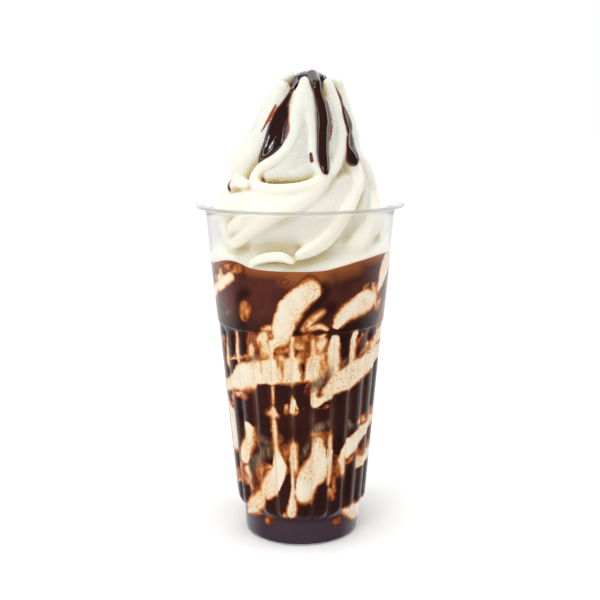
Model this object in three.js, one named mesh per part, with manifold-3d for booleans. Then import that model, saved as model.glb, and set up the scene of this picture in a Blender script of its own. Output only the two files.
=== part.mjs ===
/*
 * A soft-serve sundae in its clear fluted cup.
 *
 * Millimetres, +Z up. The origin is the centre of the cup's foot, on the surface it stands on.
 * Bearings are degrees round the cup's axis, from the front (-Y) towards the right (+X).
 *
 *   cup               clear plastic cup: foot, 24 convex flutes, plain upper wall, flat rim
 *   marbled_filling   ice cream streaked with chocolate sauce, filling the cup to the sauce line
 *   soft_serve        piped swirl that rises out of the cup, with its thick drizzle fused on
 */
import * as THREE from 'three';
import { mergeVertices } from 'three/addons/utils/BufferGeometryUtils.js';
import Module from 'manifold-3d';

// ---------------------------------------------------------------- driving dimensions

// Cup, outer faces.
const FOOT_RADIUS = 27.05;
const FOOT_TAPER = 0.04;
const FOOT_HEIGHT = 10.5;
const BOWL_HEIGHT = 19.5;
const BOWL_RADIUS = 30.9;
const FLUTE_TOP = 101;
const FLUTE_TOP_RADIUS = 38.15;
const SHOULDER_HEIGHT = 101.8;
const SHOULDER_RADIUS = 38.6;
const NECK_HEIGHT = 149.5;
const NECK_RADIUS = 42.7;
const UPPER_WALL_BULGE = 0.25;
const RIM_RADIUS = 47.5;
const RIM_HEIGHT = 154.8;
const RIM_THICKNESS = 1.2;
const RIM_NECK_RADIUS = 43.4;
const RIM_FILLET = 0.8;
const RIM_FILLET_DROP = 1.2;
const RIM_BEVEL = 0.2;
const WALL = 0.8;
const FLOOR = 1.2;

// Flutes: convex ribs with sharp valleys and rounded lower ends.
const FLUTES = 24;
const FLUTE_DEPTH = 1.1;
const FLUTE_VALLEY_BEARING = 8.5;
const FLUTE_END_HEIGHT = 12.5;
const FLUTE_END_LENGTH = 5.5;
const FLUTE_TOP_LENGTH = 3.8;
const FACETS_PER_FLUTE = 3;

// Heights at which the wall has a ring of vertices, and the least height between two rings.
const WALL_HEIGHTS = [
  0, FOOT_HEIGHT, FLUTE_END_HEIGHT, 14.2, 16, BOWL_HEIGHT, 98, 99.3, 100.6, SHOULDER_HEIGHT,
  125, NECK_HEIGHT,
];
const LEAST_RING_HEIGHT = 0.5;

// What fills the cup.
const GAP = 0.3;
const SAUCE_LINE = 130.0;

/*
 * Swirl: a cone of piped ridges, by [height, radius over the ridges]. Its lower coil sits to the
 * left in the cup and its crown leans to the right, by [height, place of its axis].
 */
const SWIRL_PROFILE = [
  [130, 40.6], [142, 38.6], [152, 38.0], [160, 34.0], [165, 32.8], [170, 31], [180, 27],
  [200, 18.8], [208, 15.6], [214, 9],
];
const SWIRL_AXIS = [
  [130, -0.4], [140, -1.6], [152, -2.2], [161, 0.3], [178, 0.6], [190, 2.4], [214, 4],
];
const CORE_INSET = 5.4;
const CORE_SPREAD = [131, 143];
const CORE_TOP = 205;
const CORE_RINGS = 7;
const CORE_RING_SPACING = 1.4;
const CORE_SEGMENTS = 28;
const TUBE_SIDES = 7;
const TUBE_STEPS = 9;
const HOOK_STEPS = 18;
const RIDGE_FLATNESS = 0.8;
const STREAM_FLATNESS = 0.55;

/*
 * Hanging ridges of the upper mass, by bearing at the crown and at the foot. Each runs down the
 * cone from its crown height to its foot height, half as wide as the two widths say.
 */
const HANGING = [
  { crown: [-6, 211.5], foot: [-8, 186], widths: [2.6, 7.6] },
  { crown: [4, 198], foot: [13, 167.5], widths: [2.6, 2.8] },
  { crown: [40, 210.5], foot: [31, 167], widths: [2.6, 4.2] },
  { crown: [82, 210.5], foot: [66, 173], widths: [3.2, 5.2] },
  { crown: [114, 211.5], foot: [104, 168], widths: [3.4, 6.0] },
  { crown: [154, 212], foot: [138, 166], widths: [3.8, 7.2] },
  { crown: [198, 212], foot: [184, 168], widths: [3.6, 7.0] },
  { crown: [228, 211.5], foot: [218, 165], widths: [3.4, 7.2] },
  { crown: [252, 213], foot: [256, 167], widths: [3.0, 7.0] },
];
const CROWN_DROP = 1.5;

/*
 * Hooked ridges: they hang to a fold, sweep to the left over a reach, turn round under
 * themselves and run back to the right.
 */
const HOOKED = [
  {
    crown: [-8, 196], fold: 185, reach: 22, turnHeight: 167.4, turn: 4.2, back: 46, lift: 1.5,
    widths: [5.4, 3.6, 3],
  },
  {
    crown: [-58, 210], fold: 186, reach: 12, turnHeight: 168, turn: 3.6, back: 14, lift: 1.5,
    widths: [3.6, 7.0, 5.0],
  },
];

/*
 * Ridges of the lower coil: each starts at a bearing and height and sweeps round, falling. A
 * sunk one lies that deep behind the others.
 */
const COILED = [
  { start: [55, 174], sweep: 53, foot: 137.5, widths: [4.6, 4.8] },
  { start: [40, 164], sweep: 66, foot: 143, widths: [7.0, 6.0], sunk: 1.4 },
  { start: [22, 168], sweep: 70, foot: 140, widths: [3.8, 4.0] },
  { start: [92, 168], sweep: 93, foot: 134.5, widths: [6.0, 6.4], sunk: 0.8 },
  { start: [4, 159.5], sweep: 116, foot: 146, widths: [6.2, 7.2] },
  { start: [-2, 133], sweep: 36, foot: 132.5, widths: [2.6, 2.6] },
  { start: [-20, 152], sweep: 56, foot: 137, widths: [5.4, 5.4], sunk: 0.6 },
  { start: [138, 172], sweep: 92, foot: 137, widths: [6.4, 7.4] },
  { start: [182, 170], sweep: 90, foot: 135, widths: [6.8, 7.6] },
  { start: [226, 171], sweep: 94, foot: 138, widths: [6.4, 7.8] },
  { start: [268, 168], sweep: 88, foot: 134, widths: [6.2, 7.4] },
  { start: [292, 160], sweep: 78, foot: 138, widths: [5.0, 6.4] },
];
const COIL_EASE = 1.15;

// Thick drizzle: a pool held between the ridge tips, and streams that run down the valleys.
const POOL = { centre: [0.4, 0], radius: 10.2, height: 10, top: 214, sides: 14, rings: 8 };
const STREAMS = [
  { start: [-24, 210], foot: [-40, 175], bow: 2, widths: [1.5, 1.6, 5.0, 3.6] },
  { start: [15, 211], foot: [19, 170], bow: 5, widths: [2.5, 2.3, 3.0, 2.6] },
  { start: [48, 209], foot: [52, 175], bow: 4, widths: [0.9, 1.6, 2.8, 2.8] },
  { start: [134, 211], foot: [124, 180], bow: 3, widths: [1.8, 1.6, 3.0] },
  { start: [216, 211], foot: [204, 184], bow: 3, widths: [1.6, 1.8, 3.2] },
];

// The room that the swirl is cut to: the cup's above the sauce line, and all above the rim.
const ROOM = { radius: 60, height: 230, segments: 48 };

// ---------------------------------------------------------------- small helpers

const radians = THREE.MathUtils.degToRad;
const lerp = THREE.MathUtils.lerp;
const smoothstep = THREE.MathUtils.smoothstep;
const clamp = THREE.MathUtils.clamp;

/** The point at a bearing, radius and height round an upright axis through (axisX, 0). */
function pointAt(bearing, radius, height, axisX = 0) {
  const angle = radians(bearing);
  return new THREE.Vector3(axisX + radius * Math.sin(angle), -radius * Math.cos(angle), height);
}

/** The value at a height of a profile that runs straight between [height, value] stations. */
function alongProfile(profile, height) {
  const upper = profile.findIndex(([stationHeight]) => stationHeight >= height);
  if (upper <= 0) {
    return upper === 0 ? profile[0][1] : profile[profile.length - 1][1];
  }
  const [lowHeight, lowValue] = profile[upper - 1];
  const [highHeight, highValue] = profile[upper];
  return lerp(lowValue, highValue, (height - lowHeight) / (highHeight - lowHeight));
}

/** A closed geometry with only shared positions left, and no triangle that has lost its area. */
function weld(geometry) {
  const bare = geometry.clone();
  bare.deleteAttribute('normal');
  bare.deleteAttribute('uv');
  const merged = mergeVertices(bare, 1e-4);
  const kept = [];
  const { array } = merged.index;
  for (let i = 0; i < array.length; i += 3) {
    const [a, b, c] = [array[i], array[i + 1], array[i + 2]];
    if (a !== b && b !== c && c !== a) {
      kept.push(a, b, c);
    }
  }
  merged.setIndex(kept);
  return merged;
}

const wasm = await Module();
wasm.setup();

/** The solid inside a closed geometry. */
function solidOf(geometry) {
  const welded = weld(geometry);
  const vertProperties = new Float32Array(welded.attributes.position.array);
  const triVerts = new Uint32Array(welded.index.array);
  return new wasm.Manifold(new wasm.Mesh({ numProp: 3, vertProperties, triVerts }));
}

/** The geometry of a solid. */
function geometryOf(solid) {
  const { vertProperties, triVerts } = solid.getMesh();
  const geometry = new THREE.BufferGeometry();
  geometry.setAttribute('position', new THREE.BufferAttribute(vertProperties, 3));
  geometry.setIndex(new THREE.BufferAttribute(triVerts, 1));
  return geometry;
}

/** A solid without its sealed hollows and loose scraps. */
function outerShell(solid) {
  return solid.decompose().reduce((most, shell) => (shell.volume() > most.volume() ? shell : most));
}

/** A profile of [radius, height] pairs turned round +Z, from bottom to top. */
function turned(profile, segments, firstBearing = 0) {
  const points = profile.map(([radius, height]) => new THREE.Vector2(radius, height));
  const geometry = new THREE.LatheGeometry(points, segments);
  geometry.rotateX(Math.PI / 2);
  geometry.rotateZ(radians(firstBearing));
  return geometry;
}

/** Moves each vertex of a geometry by a rule on its bearing, radius and height. */
function reshape(geometry, rule) {
  const { position } = geometry.attributes;
  const v = new THREE.Vector3();
  for (let i = 0; i < position.count; i += 1) {
    v.fromBufferAttribute(position, i);
    rule(v);
    position.setXYZ(i, v.x, v.y, v.z);
  }
  return geometry;
}

// ---------------------------------------------------------------- cup

/** Outer radius of the cup's wall over the crowns of its flutes, below the rim. */
function cupRadius(height) {
  if (height <= FOOT_HEIGHT) {
    return FOOT_RADIUS + FOOT_TAPER * height;
  }
  if (height <= BOWL_HEIGHT) {
    const rise = (height - FOOT_HEIGHT) / (BOWL_HEIGHT - FOOT_HEIGHT);
    const start = FOOT_RADIUS + FOOT_TAPER * FOOT_HEIGHT;
    return lerp(start, BOWL_RADIUS, Math.sin((rise * Math.PI) / 2));
  }
  if (height <= SHOULDER_HEIGHT) {
    const share = (height - BOWL_HEIGHT) / (FLUTE_TOP - BOWL_HEIGHT);
    const fluted = lerp(BOWL_RADIUS, FLUTE_TOP_RADIUS, Math.min(share, 1));
    return height > FLUTE_TOP ? SHOULDER_RADIUS : fluted;
  }
  const rise = (height - SHOULDER_HEIGHT) / (NECK_HEIGHT - SHOULDER_HEIGHT);
  return lerp(SHOULDER_RADIUS, NECK_RADIUS, rise) + UPPER_WALL_BULGE * Math.sin(rise * Math.PI);
}

/** How deep the wall lies behind its flutes' crowns at a bearing and height. */
function fluteSink(bearing, height) {
  if (height <= FOOT_HEIGHT || height >= SHOULDER_HEIGHT) {
    return 0;
  }
  const pitch = 360 / FLUTES;
  const turns = (bearing - FLUTE_VALLEY_BEARING) / pitch;
  const across = 2 * (turns - Math.floor(turns)) - 1;
  const toEnd = clamp(1 - (height - FLUTE_END_HEIGHT) / FLUTE_END_LENGTH, 0, 1);
  const fadeIn = clamp((height - FOOT_HEIGHT) / (FLUTE_END_HEIGHT - FOOT_HEIGHT), 0, 1);
  const fadeOut = clamp((SHOULDER_HEIGHT - height) / FLUTE_TOP_LENGTH, 0, 1);
  return FLUTE_DEPTH * fadeIn * fadeOut * Math.min(1, across * across + toEnd * toEnd);
}

/** Presses the flutes into a turned wall. */
function flute(geometry) {
  return reshape(geometry, (v) => {
    const bearing = THREE.MathUtils.radToDeg(Math.atan2(v.x, -v.y));
    const radius = Math.hypot(v.x, v.y);
    if (radius > FOOT_RADIUS / 2) {
      const scale = (radius - fluteSink(bearing, v.z)) / radius;
      v.x *= scale;
      v.y *= scale;
    }
  });
}

/** Wall profile inset by a distance, between two heights. */
function wallProfile(inset, low, high) {
  const between = WALL_HEIGHTS.filter((height) => {
    return height > low + LEAST_RING_HEIGHT && height < high - LEAST_RING_HEIGHT;
  });
  return [low, ...between, high].map((height) => [cupRadius(height) - inset, height]);
}

function makeCup() {
  const outer = wallProfile(0, 0, NECK_HEIGHT);
  const under = RIM_HEIGHT - RIM_THICKNESS;
  const rim = [
    [RIM_NECK_RADIUS, under - RIM_FILLET_DROP],
    [RIM_NECK_RADIUS + RIM_FILLET, under],
    [RIM_RADIUS, under],
    [RIM_RADIUS, RIM_HEIGHT],
    [RIM_NECK_RADIUS + RIM_BEVEL, RIM_HEIGHT],
    [RIM_NECK_RADIUS - WALL, RIM_HEIGHT - RIM_FILLET_DROP],
  ];
  const inner = wallProfile(WALL, FLOOR, NECK_HEIGHT).reverse();
  const profile = [[0, 0], ...outer, ...rim, ...inner, [0, FLOOR]];
  return flute(turned(profile, FLUTES * FACETS_PER_FLUTE, FLUTE_VALLEY_BEARING));
}

// ---------------------------------------------------------------- filling

function makeFilling() {
  const inset = WALL + GAP;
  const wall = wallProfile(inset, FLOOR + GAP, SAUCE_LINE);
  const profile = [[0, FLOOR + GAP], ...wall, [0, SAUCE_LINE]];
  return flute(turned(profile, FLUTES * FACETS_PER_FLUTE, FLUTE_VALLEY_BEARING));
}

// ---------------------------------------------------------------- swirl

/** Radius of the swirl over its ridges. */
function swirlRadius(height) {
  return alongProfile(SWIRL_PROFILE, height);
}

/** Where the swirl's axis stands, to the right of the cup's. */
function swirlAxis(height) {
  return alongProfile(SWIRL_AXIS, height);
}

/** A point a depth behind the swirl's surface. */
function onSwirl(bearing, height, depth) {
  return pointAt(bearing, swirlRadius(height) - depth, height, swirlAxis(height));
}

/**
 * A closed tube along a curve on the swirl. width(t) is half its width along the surface and
 * depth(t) half its depth into it, from t = 0 at the start to 1 at the end.
 */
function surfaceTube(curve, width, depth, steps = TUBE_STEPS) {
  const thread = 0.05;
  const section = new THREE.Shape(new THREE.EllipseCurve(0, 0, thread, thread).getPoints(TUBE_SIDES));
  const geometry = new THREE.ExtrudeGeometry(section, { extrudePath: curve, steps });
  const stations = curve.getSpacedPoints(steps);
  const out = new THREE.Vector3();
  const side = new THREE.Vector3();
  return reshape(geometry, (v) => {
    let nearest = 0;
    stations.forEach((station, i) => {
      if (v.distanceToSquared(station) < v.distanceToSquared(stations[nearest])) {
        nearest = i;
      }
    });
    const station = stations[nearest];
    const t = nearest / steps;
    const along = curve.getTangentAt(t);
    out.set(station.x - swirlAxis(station.z), station.y, 0);
    out.addScaledVector(along, -out.dot(along)).normalize();
    side.crossVectors(along, out);
    v.sub(station).divideScalar(thread);
    const outward = v.dot(out) * depth(t);
    const sideways = v.dot(side) * width(t);
    v.copy(station).addScaledVector(out, outward).addScaledVector(side, sideways);
  });
}

/** A width that runs through its given values and rounds off at both ends. */
function roundedWidth(values, endLength = 0.12) {
  const least = 0.12;
  return (t) => {
    const place = t * (values.length - 1);
    const i = Math.min(Math.floor(place), values.length - 2);
    const full = lerp(values[i], values[i + 1], smoothstep(place - i, 0, 1));
    const fromEnd = clamp(Math.min(t, 1 - t) / endLength, 0, 1);
    return full * Math.max(least, Math.sqrt(1 - (1 - fromEnd) ** 2));
  };
}

/** The curve over a list of [bearing, height] stops, depth(t) behind the swirl's surface. */
function crestCurve(stops, depth) {
  const points = stops.map(([bearing, height], i) => {
    return onSwirl(bearing, height, depth(i / (stops.length - 1)));
  });
  return new THREE.CatmullRomCurve3(points, false, 'centripetal');
}

/** The solid of one ridge or stream through its stops. */
function ridgeSolid({ widths, sunk = 0 }, stops, flatness, steps) {
  const width = roundedWidth(widths);
  const depth = (t) => width(t) * flatness;
  const settled = (t) => sunk + lerp(widths[0], widths[widths.length - 1], t) * flatness;
  return solidOf(surfaceTube(crestCurve(stops, settled), width, depth, steps));
}

/** Stops of a ridge that hangs from its crown, curving evenly to its foot. */
function hangingStops({ crown, foot }) {
  const count = 5;
  return Array.from({ length: count }, (_, i) => {
    const t = i / (count - 1);
    return [lerp(crown[0], foot[0], t * t), lerp(crown[1] - CROWN_DROP, foot[1], t)];
  });
}

/** Stops of a ridge that folds, sweeps left, turns round under itself and runs back. */
function hookedStops({ crown, fold, reach, turnHeight, turn, back, lift }) {
  const [bearing, top] = crown;
  const far = bearing - reach;
  const upper = turnHeight + turn;
  const lower = turnHeight - turn;
  const degreesPerMm = THREE.MathUtils.radToDeg(1 / swirlRadius(turnHeight));
  const stops = [[bearing, top - CROWN_DROP], [bearing, fold]];
  const sweep = [[0.25, 0.5], [0.68, 0.86]];
  sweep.forEach(([across, down]) => {
    stops.push([bearing - reach * across, lerp(fold, upper, down)]);
  });
  const quarters = 4;
  for (let i = 0; i <= quarters; i += 1) {
    const angle = (i / quarters) * Math.PI;
    stops.push([far - Math.sin(angle) * turn * degreesPerMm, turnHeight + turn * Math.cos(angle)]);
  }
  stops.push([far + back / 2, lower], [far + back, lower + lift]);
  return stops;
}

/** Stops of a ridge of the lower coil. */
function coiledStops({ start, sweep, foot }) {
  const count = 7;
  return Array.from({ length: count }, (_, i) => {
    const t = i / (count - 1);
    return [start[0] - sweep * t, lerp(start[1], foot, t ** COIL_EASE)];
  });
}

/** Stops of a stream of sauce, bowed to the right of the straight way. */
function streamStops({ start, foot, bow }) {
  const count = 6;
  return Array.from({ length: count }, (_, i) => {
    const t = i / (count - 1);
    return [lerp(start[0], foot[0], t) + bow * Math.sin(t * Math.PI), lerp(start[1], foot[1], t)];
  });
}

/** The plain cone behind the ridges, which spreads to the cup's wall at the sauce line. */
function makeCore() {
  const wall = [];
  for (let i = 0; i <= CORE_RINGS; i += 1) {
    const height = lerp(SAUCE_LINE + GAP, CORE_TOP, (i / CORE_RINGS) ** CORE_RING_SPACING);
    const inset = CORE_INSET * smoothstep(height, ...CORE_SPREAD);
    wall.push([swirlRadius(height) - inset, height]);
  }
  const cone = turned([[0, SAUCE_LINE + GAP], ...wall, [0, CORE_TOP]], CORE_SEGMENTS);
  return solidOf(reshape(cone, (v) => {
    v.x += swirlAxis(v.z);
  }));
}

/** The pool of sauce at the crown. */
function makePool() {
  const { centre, radius, height, top, sides, rings } = POOL;
  const pool = new THREE.SphereGeometry(radius, sides, rings);
  pool.rotateX(Math.PI / 2);
  pool.scale(1, 1, height / 2 / radius);
  pool.translate(swirlAxis(top) + centre[0], centre[1], top - height / 2);
  return solidOf(pool);
}

/** The room inside the cup above the sauce line, and all the room above the rim. */
function makeRoom() {
  const { radius, height, segments } = ROOM;
  const wall = wallProfile(WALL + GAP, SAUCE_LINE + GAP, NECK_HEIGHT);
  const neck = [RIM_NECK_RADIUS - WALL - GAP, RIM_HEIGHT];
  const above = [[radius, RIM_HEIGHT + RIM_THICKNESS], [radius, height], [0, height]];
  return solidOf(turned([[0, SAUCE_LINE + GAP], ...wall, neck, ...above], segments));
}

function makeSwirl() {
  const pieces = [
    ...HANGING.map((ridge) => ridgeSolid(ridge, hangingStops(ridge), 1)),
    ...HOOKED.map((ridge) => ridgeSolid(ridge, hookedStops(ridge), RIDGE_FLATNESS, HOOK_STEPS)),
    ...COILED.map((ridge) => ridgeSolid(ridge, coiledStops(ridge), RIDGE_FLATNESS)),
    ...STREAMS.map((stream) => ridgeSolid(stream, streamStops(stream), STREAM_FLATNESS)),
    makePool(),
  ];
  const swirl = pieces.reduce((whole, piece) => whole.add(piece), makeCore());
  return geometryOf(outerShell(swirl.intersect(makeRoom())));
}

// ---------------------------------------------------------------- the part

const clearPlastic = new THREE.MeshStandardMaterial({ color: 0xeef0f2, roughness: 0.15, opacity: 0.3 });
const marbled = new THREE.MeshStandardMaterial({ color: 0x4a2318, roughness: 0.35 });
const iceCream = new THREE.MeshStandardMaterial({ color: 0xf6efdc, roughness: 0.5 });

const sundae = new THREE.Group();

/** Adds one named piece to the sundae. */
function addPiece(name, geometry, material) {
  const mesh = new THREE.Mesh(geometry, material);
  mesh.name = name;
  sundae.add(mesh);
}

addPiece('cup', geometryOf(solidOf(makeCup())), clearPlastic);
addPiece('marbled_filling', geometryOf(solidOf(makeFilling())), marbled);
addPiece('soft_serve', makeSwirl(), iceCream);

export default sundae;
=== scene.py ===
"""Looks of a soft-serve sundae in its clear fluted cup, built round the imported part.

Sizes are in millimetres until a mesh is made, and meshes are in metres. Bearings are degrees
round an upright axis, from the front (-Y) towards the right (+X).
"""

import logging
import math
from dataclasses import dataclass, field
from enum import Enum

import bpy
import numpy as np
from mathutils import Matrix, Vector

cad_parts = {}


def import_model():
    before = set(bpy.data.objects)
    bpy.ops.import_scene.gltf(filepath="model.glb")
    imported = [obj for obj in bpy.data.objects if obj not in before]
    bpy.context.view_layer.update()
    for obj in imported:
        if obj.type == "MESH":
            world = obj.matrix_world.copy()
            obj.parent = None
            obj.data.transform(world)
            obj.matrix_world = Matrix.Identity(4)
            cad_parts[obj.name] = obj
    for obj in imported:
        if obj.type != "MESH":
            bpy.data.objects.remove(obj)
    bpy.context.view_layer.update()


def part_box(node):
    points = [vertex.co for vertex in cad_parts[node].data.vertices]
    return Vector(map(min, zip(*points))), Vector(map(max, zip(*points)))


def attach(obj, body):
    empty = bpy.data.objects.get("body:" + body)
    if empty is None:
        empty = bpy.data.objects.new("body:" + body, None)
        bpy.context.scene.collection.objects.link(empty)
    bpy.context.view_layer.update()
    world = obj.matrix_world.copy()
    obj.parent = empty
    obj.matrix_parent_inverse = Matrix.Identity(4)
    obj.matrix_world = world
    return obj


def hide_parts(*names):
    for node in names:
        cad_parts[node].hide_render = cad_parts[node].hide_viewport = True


log = logging.getLogger("sundae")

MM = 0.001
BODY = "root"
FAR = 1e3
OUTSIDE = -9.0
FULL_TURN = 360.0
SWIRL_STEP, QUICK_SWIRL_STEP = 0.6, 0.9
SAUCE_STEP, QUICK_SAUCE_STEP = 0.4, 0.6

Colour = tuple[float, float, float, float]
Stops = tuple[tuple[float, ...], ...]
Net = tuple[np.ndarray, np.ndarray]
Socket = bpy.types.NodeSocket


class Slot(Enum):
    """Names of material slots, one for each finish."""

    PLASTIC = "clear_plastic"
    MARBLED = "marbled_filling"
    ICE_CREAM = "ice_cream"
    SAUCE = "chocolate_sauce"


class Mark(Enum):
    """What a streak in the marbling is: each is one attribute of the filling's mesh."""

    CREAM = "cream"
    CARAMEL = "caramel"
    SMEAR_AND_REFLECTION = "smear_and_reflection"
    GLOW = "glow"
    SAUCE = "sauce"


class Trait(Enum):
    """What a finish reads of its mesh besides the marks: one number at each vertex."""

    VALLEY = "valley"
    CREASE = "crease_shade"
    POROUS = "porous"
    FILM = "film"


# ---- small helpers


def srgb(red: float, green: float, blue: float) -> Colour:
    """Turns a display colour of 0 to 255 into the linear colour that shaders take.

    Args:
        red: Red share.
        green: Green share.
        blue: Blue share.

    Returns:
        Linear red, green, blue and an alpha of 1.
    """
    shares = [value / 255 for value in (red, green, blue)]
    linear = [s / 12.92 if s <= 0.04045 else ((s + 0.055) / 1.055) ** 2.4 for s in shares]
    return (*linear, 1.0)


def smooth(value: np.ndarray, low: float, high: float) -> np.ndarray:
    """Rises smoothly from 0 at low to 1 at high."""
    share = np.clip((np.asarray(value, float) - low) / (high - low), 0, 1)
    return share * share * (3 - 2 * share)


def curve_through(stops: np.ndarray, count: int) -> np.ndarray:
    """Samples a smooth curve that runs through its stops.

    Args:
        stops: One row a stop, any number of columns.
        count: How many samples to take, ends included.

    Returns:
        One row a sample.
    """
    padded = np.vstack([2 * stops[0] - stops[1], stops, 2 * stops[-1] - stops[-2]])
    place = np.linspace(0, len(stops) - 1, count)
    first = np.minimum(place.astype(int), len(stops) - 2)
    t = (place - first)[:, None]
    a, b, c, d = (padded[first + shift] for shift in range(4))
    return 0.5 * (
        2 * b + (c - a) * t + (2 * a - 5 * b + 4 * c - d) * t**2 + (3 * b - a - 3 * c + d) * t**3
    )


def round_the_clock(bearing: np.ndarray, stops: list[tuple[float, float]]) -> np.ndarray:
    """Value at a bearing of a smooth closed line through [bearing, value] stops.

    Args:
        bearing: Bearings asked for.
        stops: Bearings and values, in rising order over one turn.

    Returns:
        The values there.
    """
    turn = [(b - FULL_TURN, v) for b, v in stops] + stops + [(b + FULL_TURN, v) for b, v in stops]
    fine = curve_through(np.array(turn, float), len(turn) * 12)
    first = stops[0][0]
    return np.interp((np.asarray(bearing) - first) % FULL_TURN + first, fine[:, 0], fine[:, 1])


def point_at(
    bearing: np.ndarray, radius: np.ndarray, height: np.ndarray, axis_x: np.ndarray = 0
) -> np.ndarray:
    """Points round an upright axis.

    Args:
        bearing: Their bearings.
        radius: Their distances from the axis.
        height: Their heights.
        axis_x: Where the axis stands, to the right of the middle.

    Returns:
        One row a point.
    """
    angle = np.radians(bearing)
    x = axis_x + radius * np.sin(angle)
    y = -radius * np.cos(angle)
    return np.stack(np.broadcast_arrays(x, y, height), axis=-1).astype(float)


def linked(name: str, data: bpy.types.ID) -> bpy.types.Object:
    """Makes an object that shows its data in the scene.

    Args:
        name: The object's name.
        data: Its mesh, light or camera.

    Returns:
        The object.
    """
    made = bpy.data.objects.new(name, data)
    bpy.context.scene.collection.objects.link(made)
    return made


def mesh_object(name: str, vertices: np.ndarray, faces: np.ndarray) -> bpy.types.Object:
    """Makes a linked, smooth-shaded mesh object.

    Args:
        name: The object's name.
        vertices: Places in millimetres.
        faces: One row of vertex numbers a face, or a list of such rows.

    Returns:
        The object, at the origin, with its place in its mesh.
    """
    mesh = bpy.data.meshes.new(name)
    mesh.from_pydata((np.asarray(vertices) * MM).tolist(), [], [list(map(int, f)) for f in faces])
    mesh.shade_smooth()
    mesh.validate()
    return linked(name, mesh)


def store(target: bpy.types.Object, what: Enum, values: np.ndarray) -> None:
    """Stores one number a vertex, which finishes read."""
    attribute = target.data.attributes.new(what.value, "FLOAT", "POINT")
    attribute.data.foreach_set("value", np.asarray(values, np.float32))


def turned_faces(rings: int, segments: int) -> list[tuple[int, ...]]:
    """Faces of a lathe body whose rings run from its bottom to its top, round and closed.

    Args:
        rings: Number of rings, without the two poles that follow them.
        segments: Vertices in a ring.

    Returns:
        Quads between rings and fans to the poles, all facing out.
    """
    across = np.arange(segments)
    nxt = (across + 1) % segments
    faces = []
    for ring in range(rings - 1):
        low, high = ring * segments, (ring + 1) * segments
        faces += list(zip(low + across, low + nxt, high + nxt, high + across))
    bottom, top = rings * segments, rings * segments + 1
    last = (rings - 1) * segments
    faces += [(bottom, b, a) for a, b in zip(across, nxt)]
    faces += [(top, last + a, last + b) for a, b in zip(across, nxt)]
    return faces


class NodeSheet:
    """Writes the nodes of one tree, one call a node."""

    def __init__(self, tree: bpy.types.NodeTree) -> None:
        """Takes the tree to write to."""
        self.tree = tree

    def feed(self, target: Socket, value: object) -> None:
        """Links a socket to an input, or sets the input's own value.

        Args:
            target: The input.
            value: A socket, or a plain value.
        """
        if isinstance(value, Socket):
            self.tree.links.new(value, target)
        else:
            target.default_value = value

    def fill(self, node: bpy.types.Node, inputs: dict) -> None:
        """Feeds inputs of a node by their names or numbers."""
        for key, value in inputs.items():
            self.feed(node.inputs[key], value)

    def node(self, kind: str, inputs: dict | None = None, **settings: object) -> bpy.types.Node:
        """Adds a node.

        Args:
            kind: The node's type name.
            inputs: Values or sockets by input name or number.
            settings: Properties of the node.

        Returns:
            The node.
        """
        made = self.tree.nodes.new(kind)
        for name, value in settings.items():
            setattr(made, name, value)
        self.fill(made, inputs or {})
        return made

    def math(self, operation: str, *values: object, clamp: bool = False) -> Socket:
        """Adds a Math node on up to three values and gives its result."""
        inputs = dict(enumerate(values))
        return self.node("ShaderNodeMath", inputs, operation=operation, use_clamp=clamp).outputs[0]

    def vector(self, operation: str, *values: object) -> Socket:
        """Adds a Vector Math node on up to two vectors and gives the resulting vector."""
        made = self.node("ShaderNodeVectorMath", dict(enumerate(values)), operation=operation)
        return made.outputs["Vector"]

    def scaled(self, vector: object, factor: object) -> Socket:
        """Adds a Vector Math node that scales a vector by a number."""
        made = self.node("ShaderNodeVectorMath", {0: vector, "Scale": factor}, operation="SCALE")
        return made.outputs["Vector"]

    def ranged(
        self, value: object, low: float, high: float, to: tuple[float, float] = (0.0, 1.0)
    ) -> Socket:
        """Adds a clamped Map Range from low and high to the two numbers of to."""
        inputs = {0: value, 1: low, 2: high, 3: to[0], 4: to[1]}
        return self.node("ShaderNodeMapRange", inputs).outputs[0]

    def noise(
        self, coordinates: object, scale: float, detail: float = 2.0, rough: float = 0.5
    ) -> Socket:
        """Adds a noise texture and gives its value, about 0.5 on average."""
        inputs = {"Vector": coordinates, "Scale": scale, "Detail": detail, "Roughness": rough}
        return self.node("ShaderNodeTexNoise", inputs).outputs[0]

    def place(self) -> Socket:
        """Adds Object coordinates, which are places in metres."""
        return self.node("ShaderNodeTexCoord").outputs["Object"]

    def risen(
        self, span: tuple[float, float], to: tuple[float, float] = (0.0, 1.0)
    ) -> Socket:
        """Adds a number that changes over a span of heights, which are in millimetres."""
        height = self.node("ShaderNodeSeparateXYZ", {0: self.place()}).outputs["Z"]
        return self.ranged(height, span[0] * MM, span[1] * MM, to)

    def stored(self, what: Enum) -> Socket:
        """Adds a number that is stored on the mesh."""
        return self.node("ShaderNodeAttribute", attribute_name=what.value).outputs["Fac"]

    def bump(self, height: object, strength: float, distance: float = 1.0) -> Socket:
        """Adds a Bump node, its distance in millimetres, and gives the bent normal."""
        inputs = {"Height": height, "Strength": strength, "Distance": distance * MM}
        return self.node("ShaderNodeBump", inputs).outputs[0]

    def mix(self, share: object, first: object, second: object) -> Socket:
        """Adds a colour mix.

        Args:
            share: Share of the second colour.
            first: The first colour.
            second: The second colour.

        Returns:
            The socket of the mixed colour.
        """
        return self.node("ShaderNodeMix", {0: share, 6: first, 7: second}, data_type="RGBA").outputs[2]

    def ramp(self, value: object, stops: list[tuple[float, Colour]]) -> Socket:
        """Adds a colour ramp.

        Args:
            value: Where on the ramp to read, from 0 to 1.
            stops: Places and colours on the ramp.

        Returns:
            The socket of the colour there.
        """
        made = self.node("ShaderNodeValToRGB", {0: value})
        band = made.color_ramp
        while len(band.elements) < len(stops):
            band.elements.new(1.0)
        for element, (place, colour) in zip(band.elements, stops):
            element.position = place
            element.color = colour
        return made.outputs[0]


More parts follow.
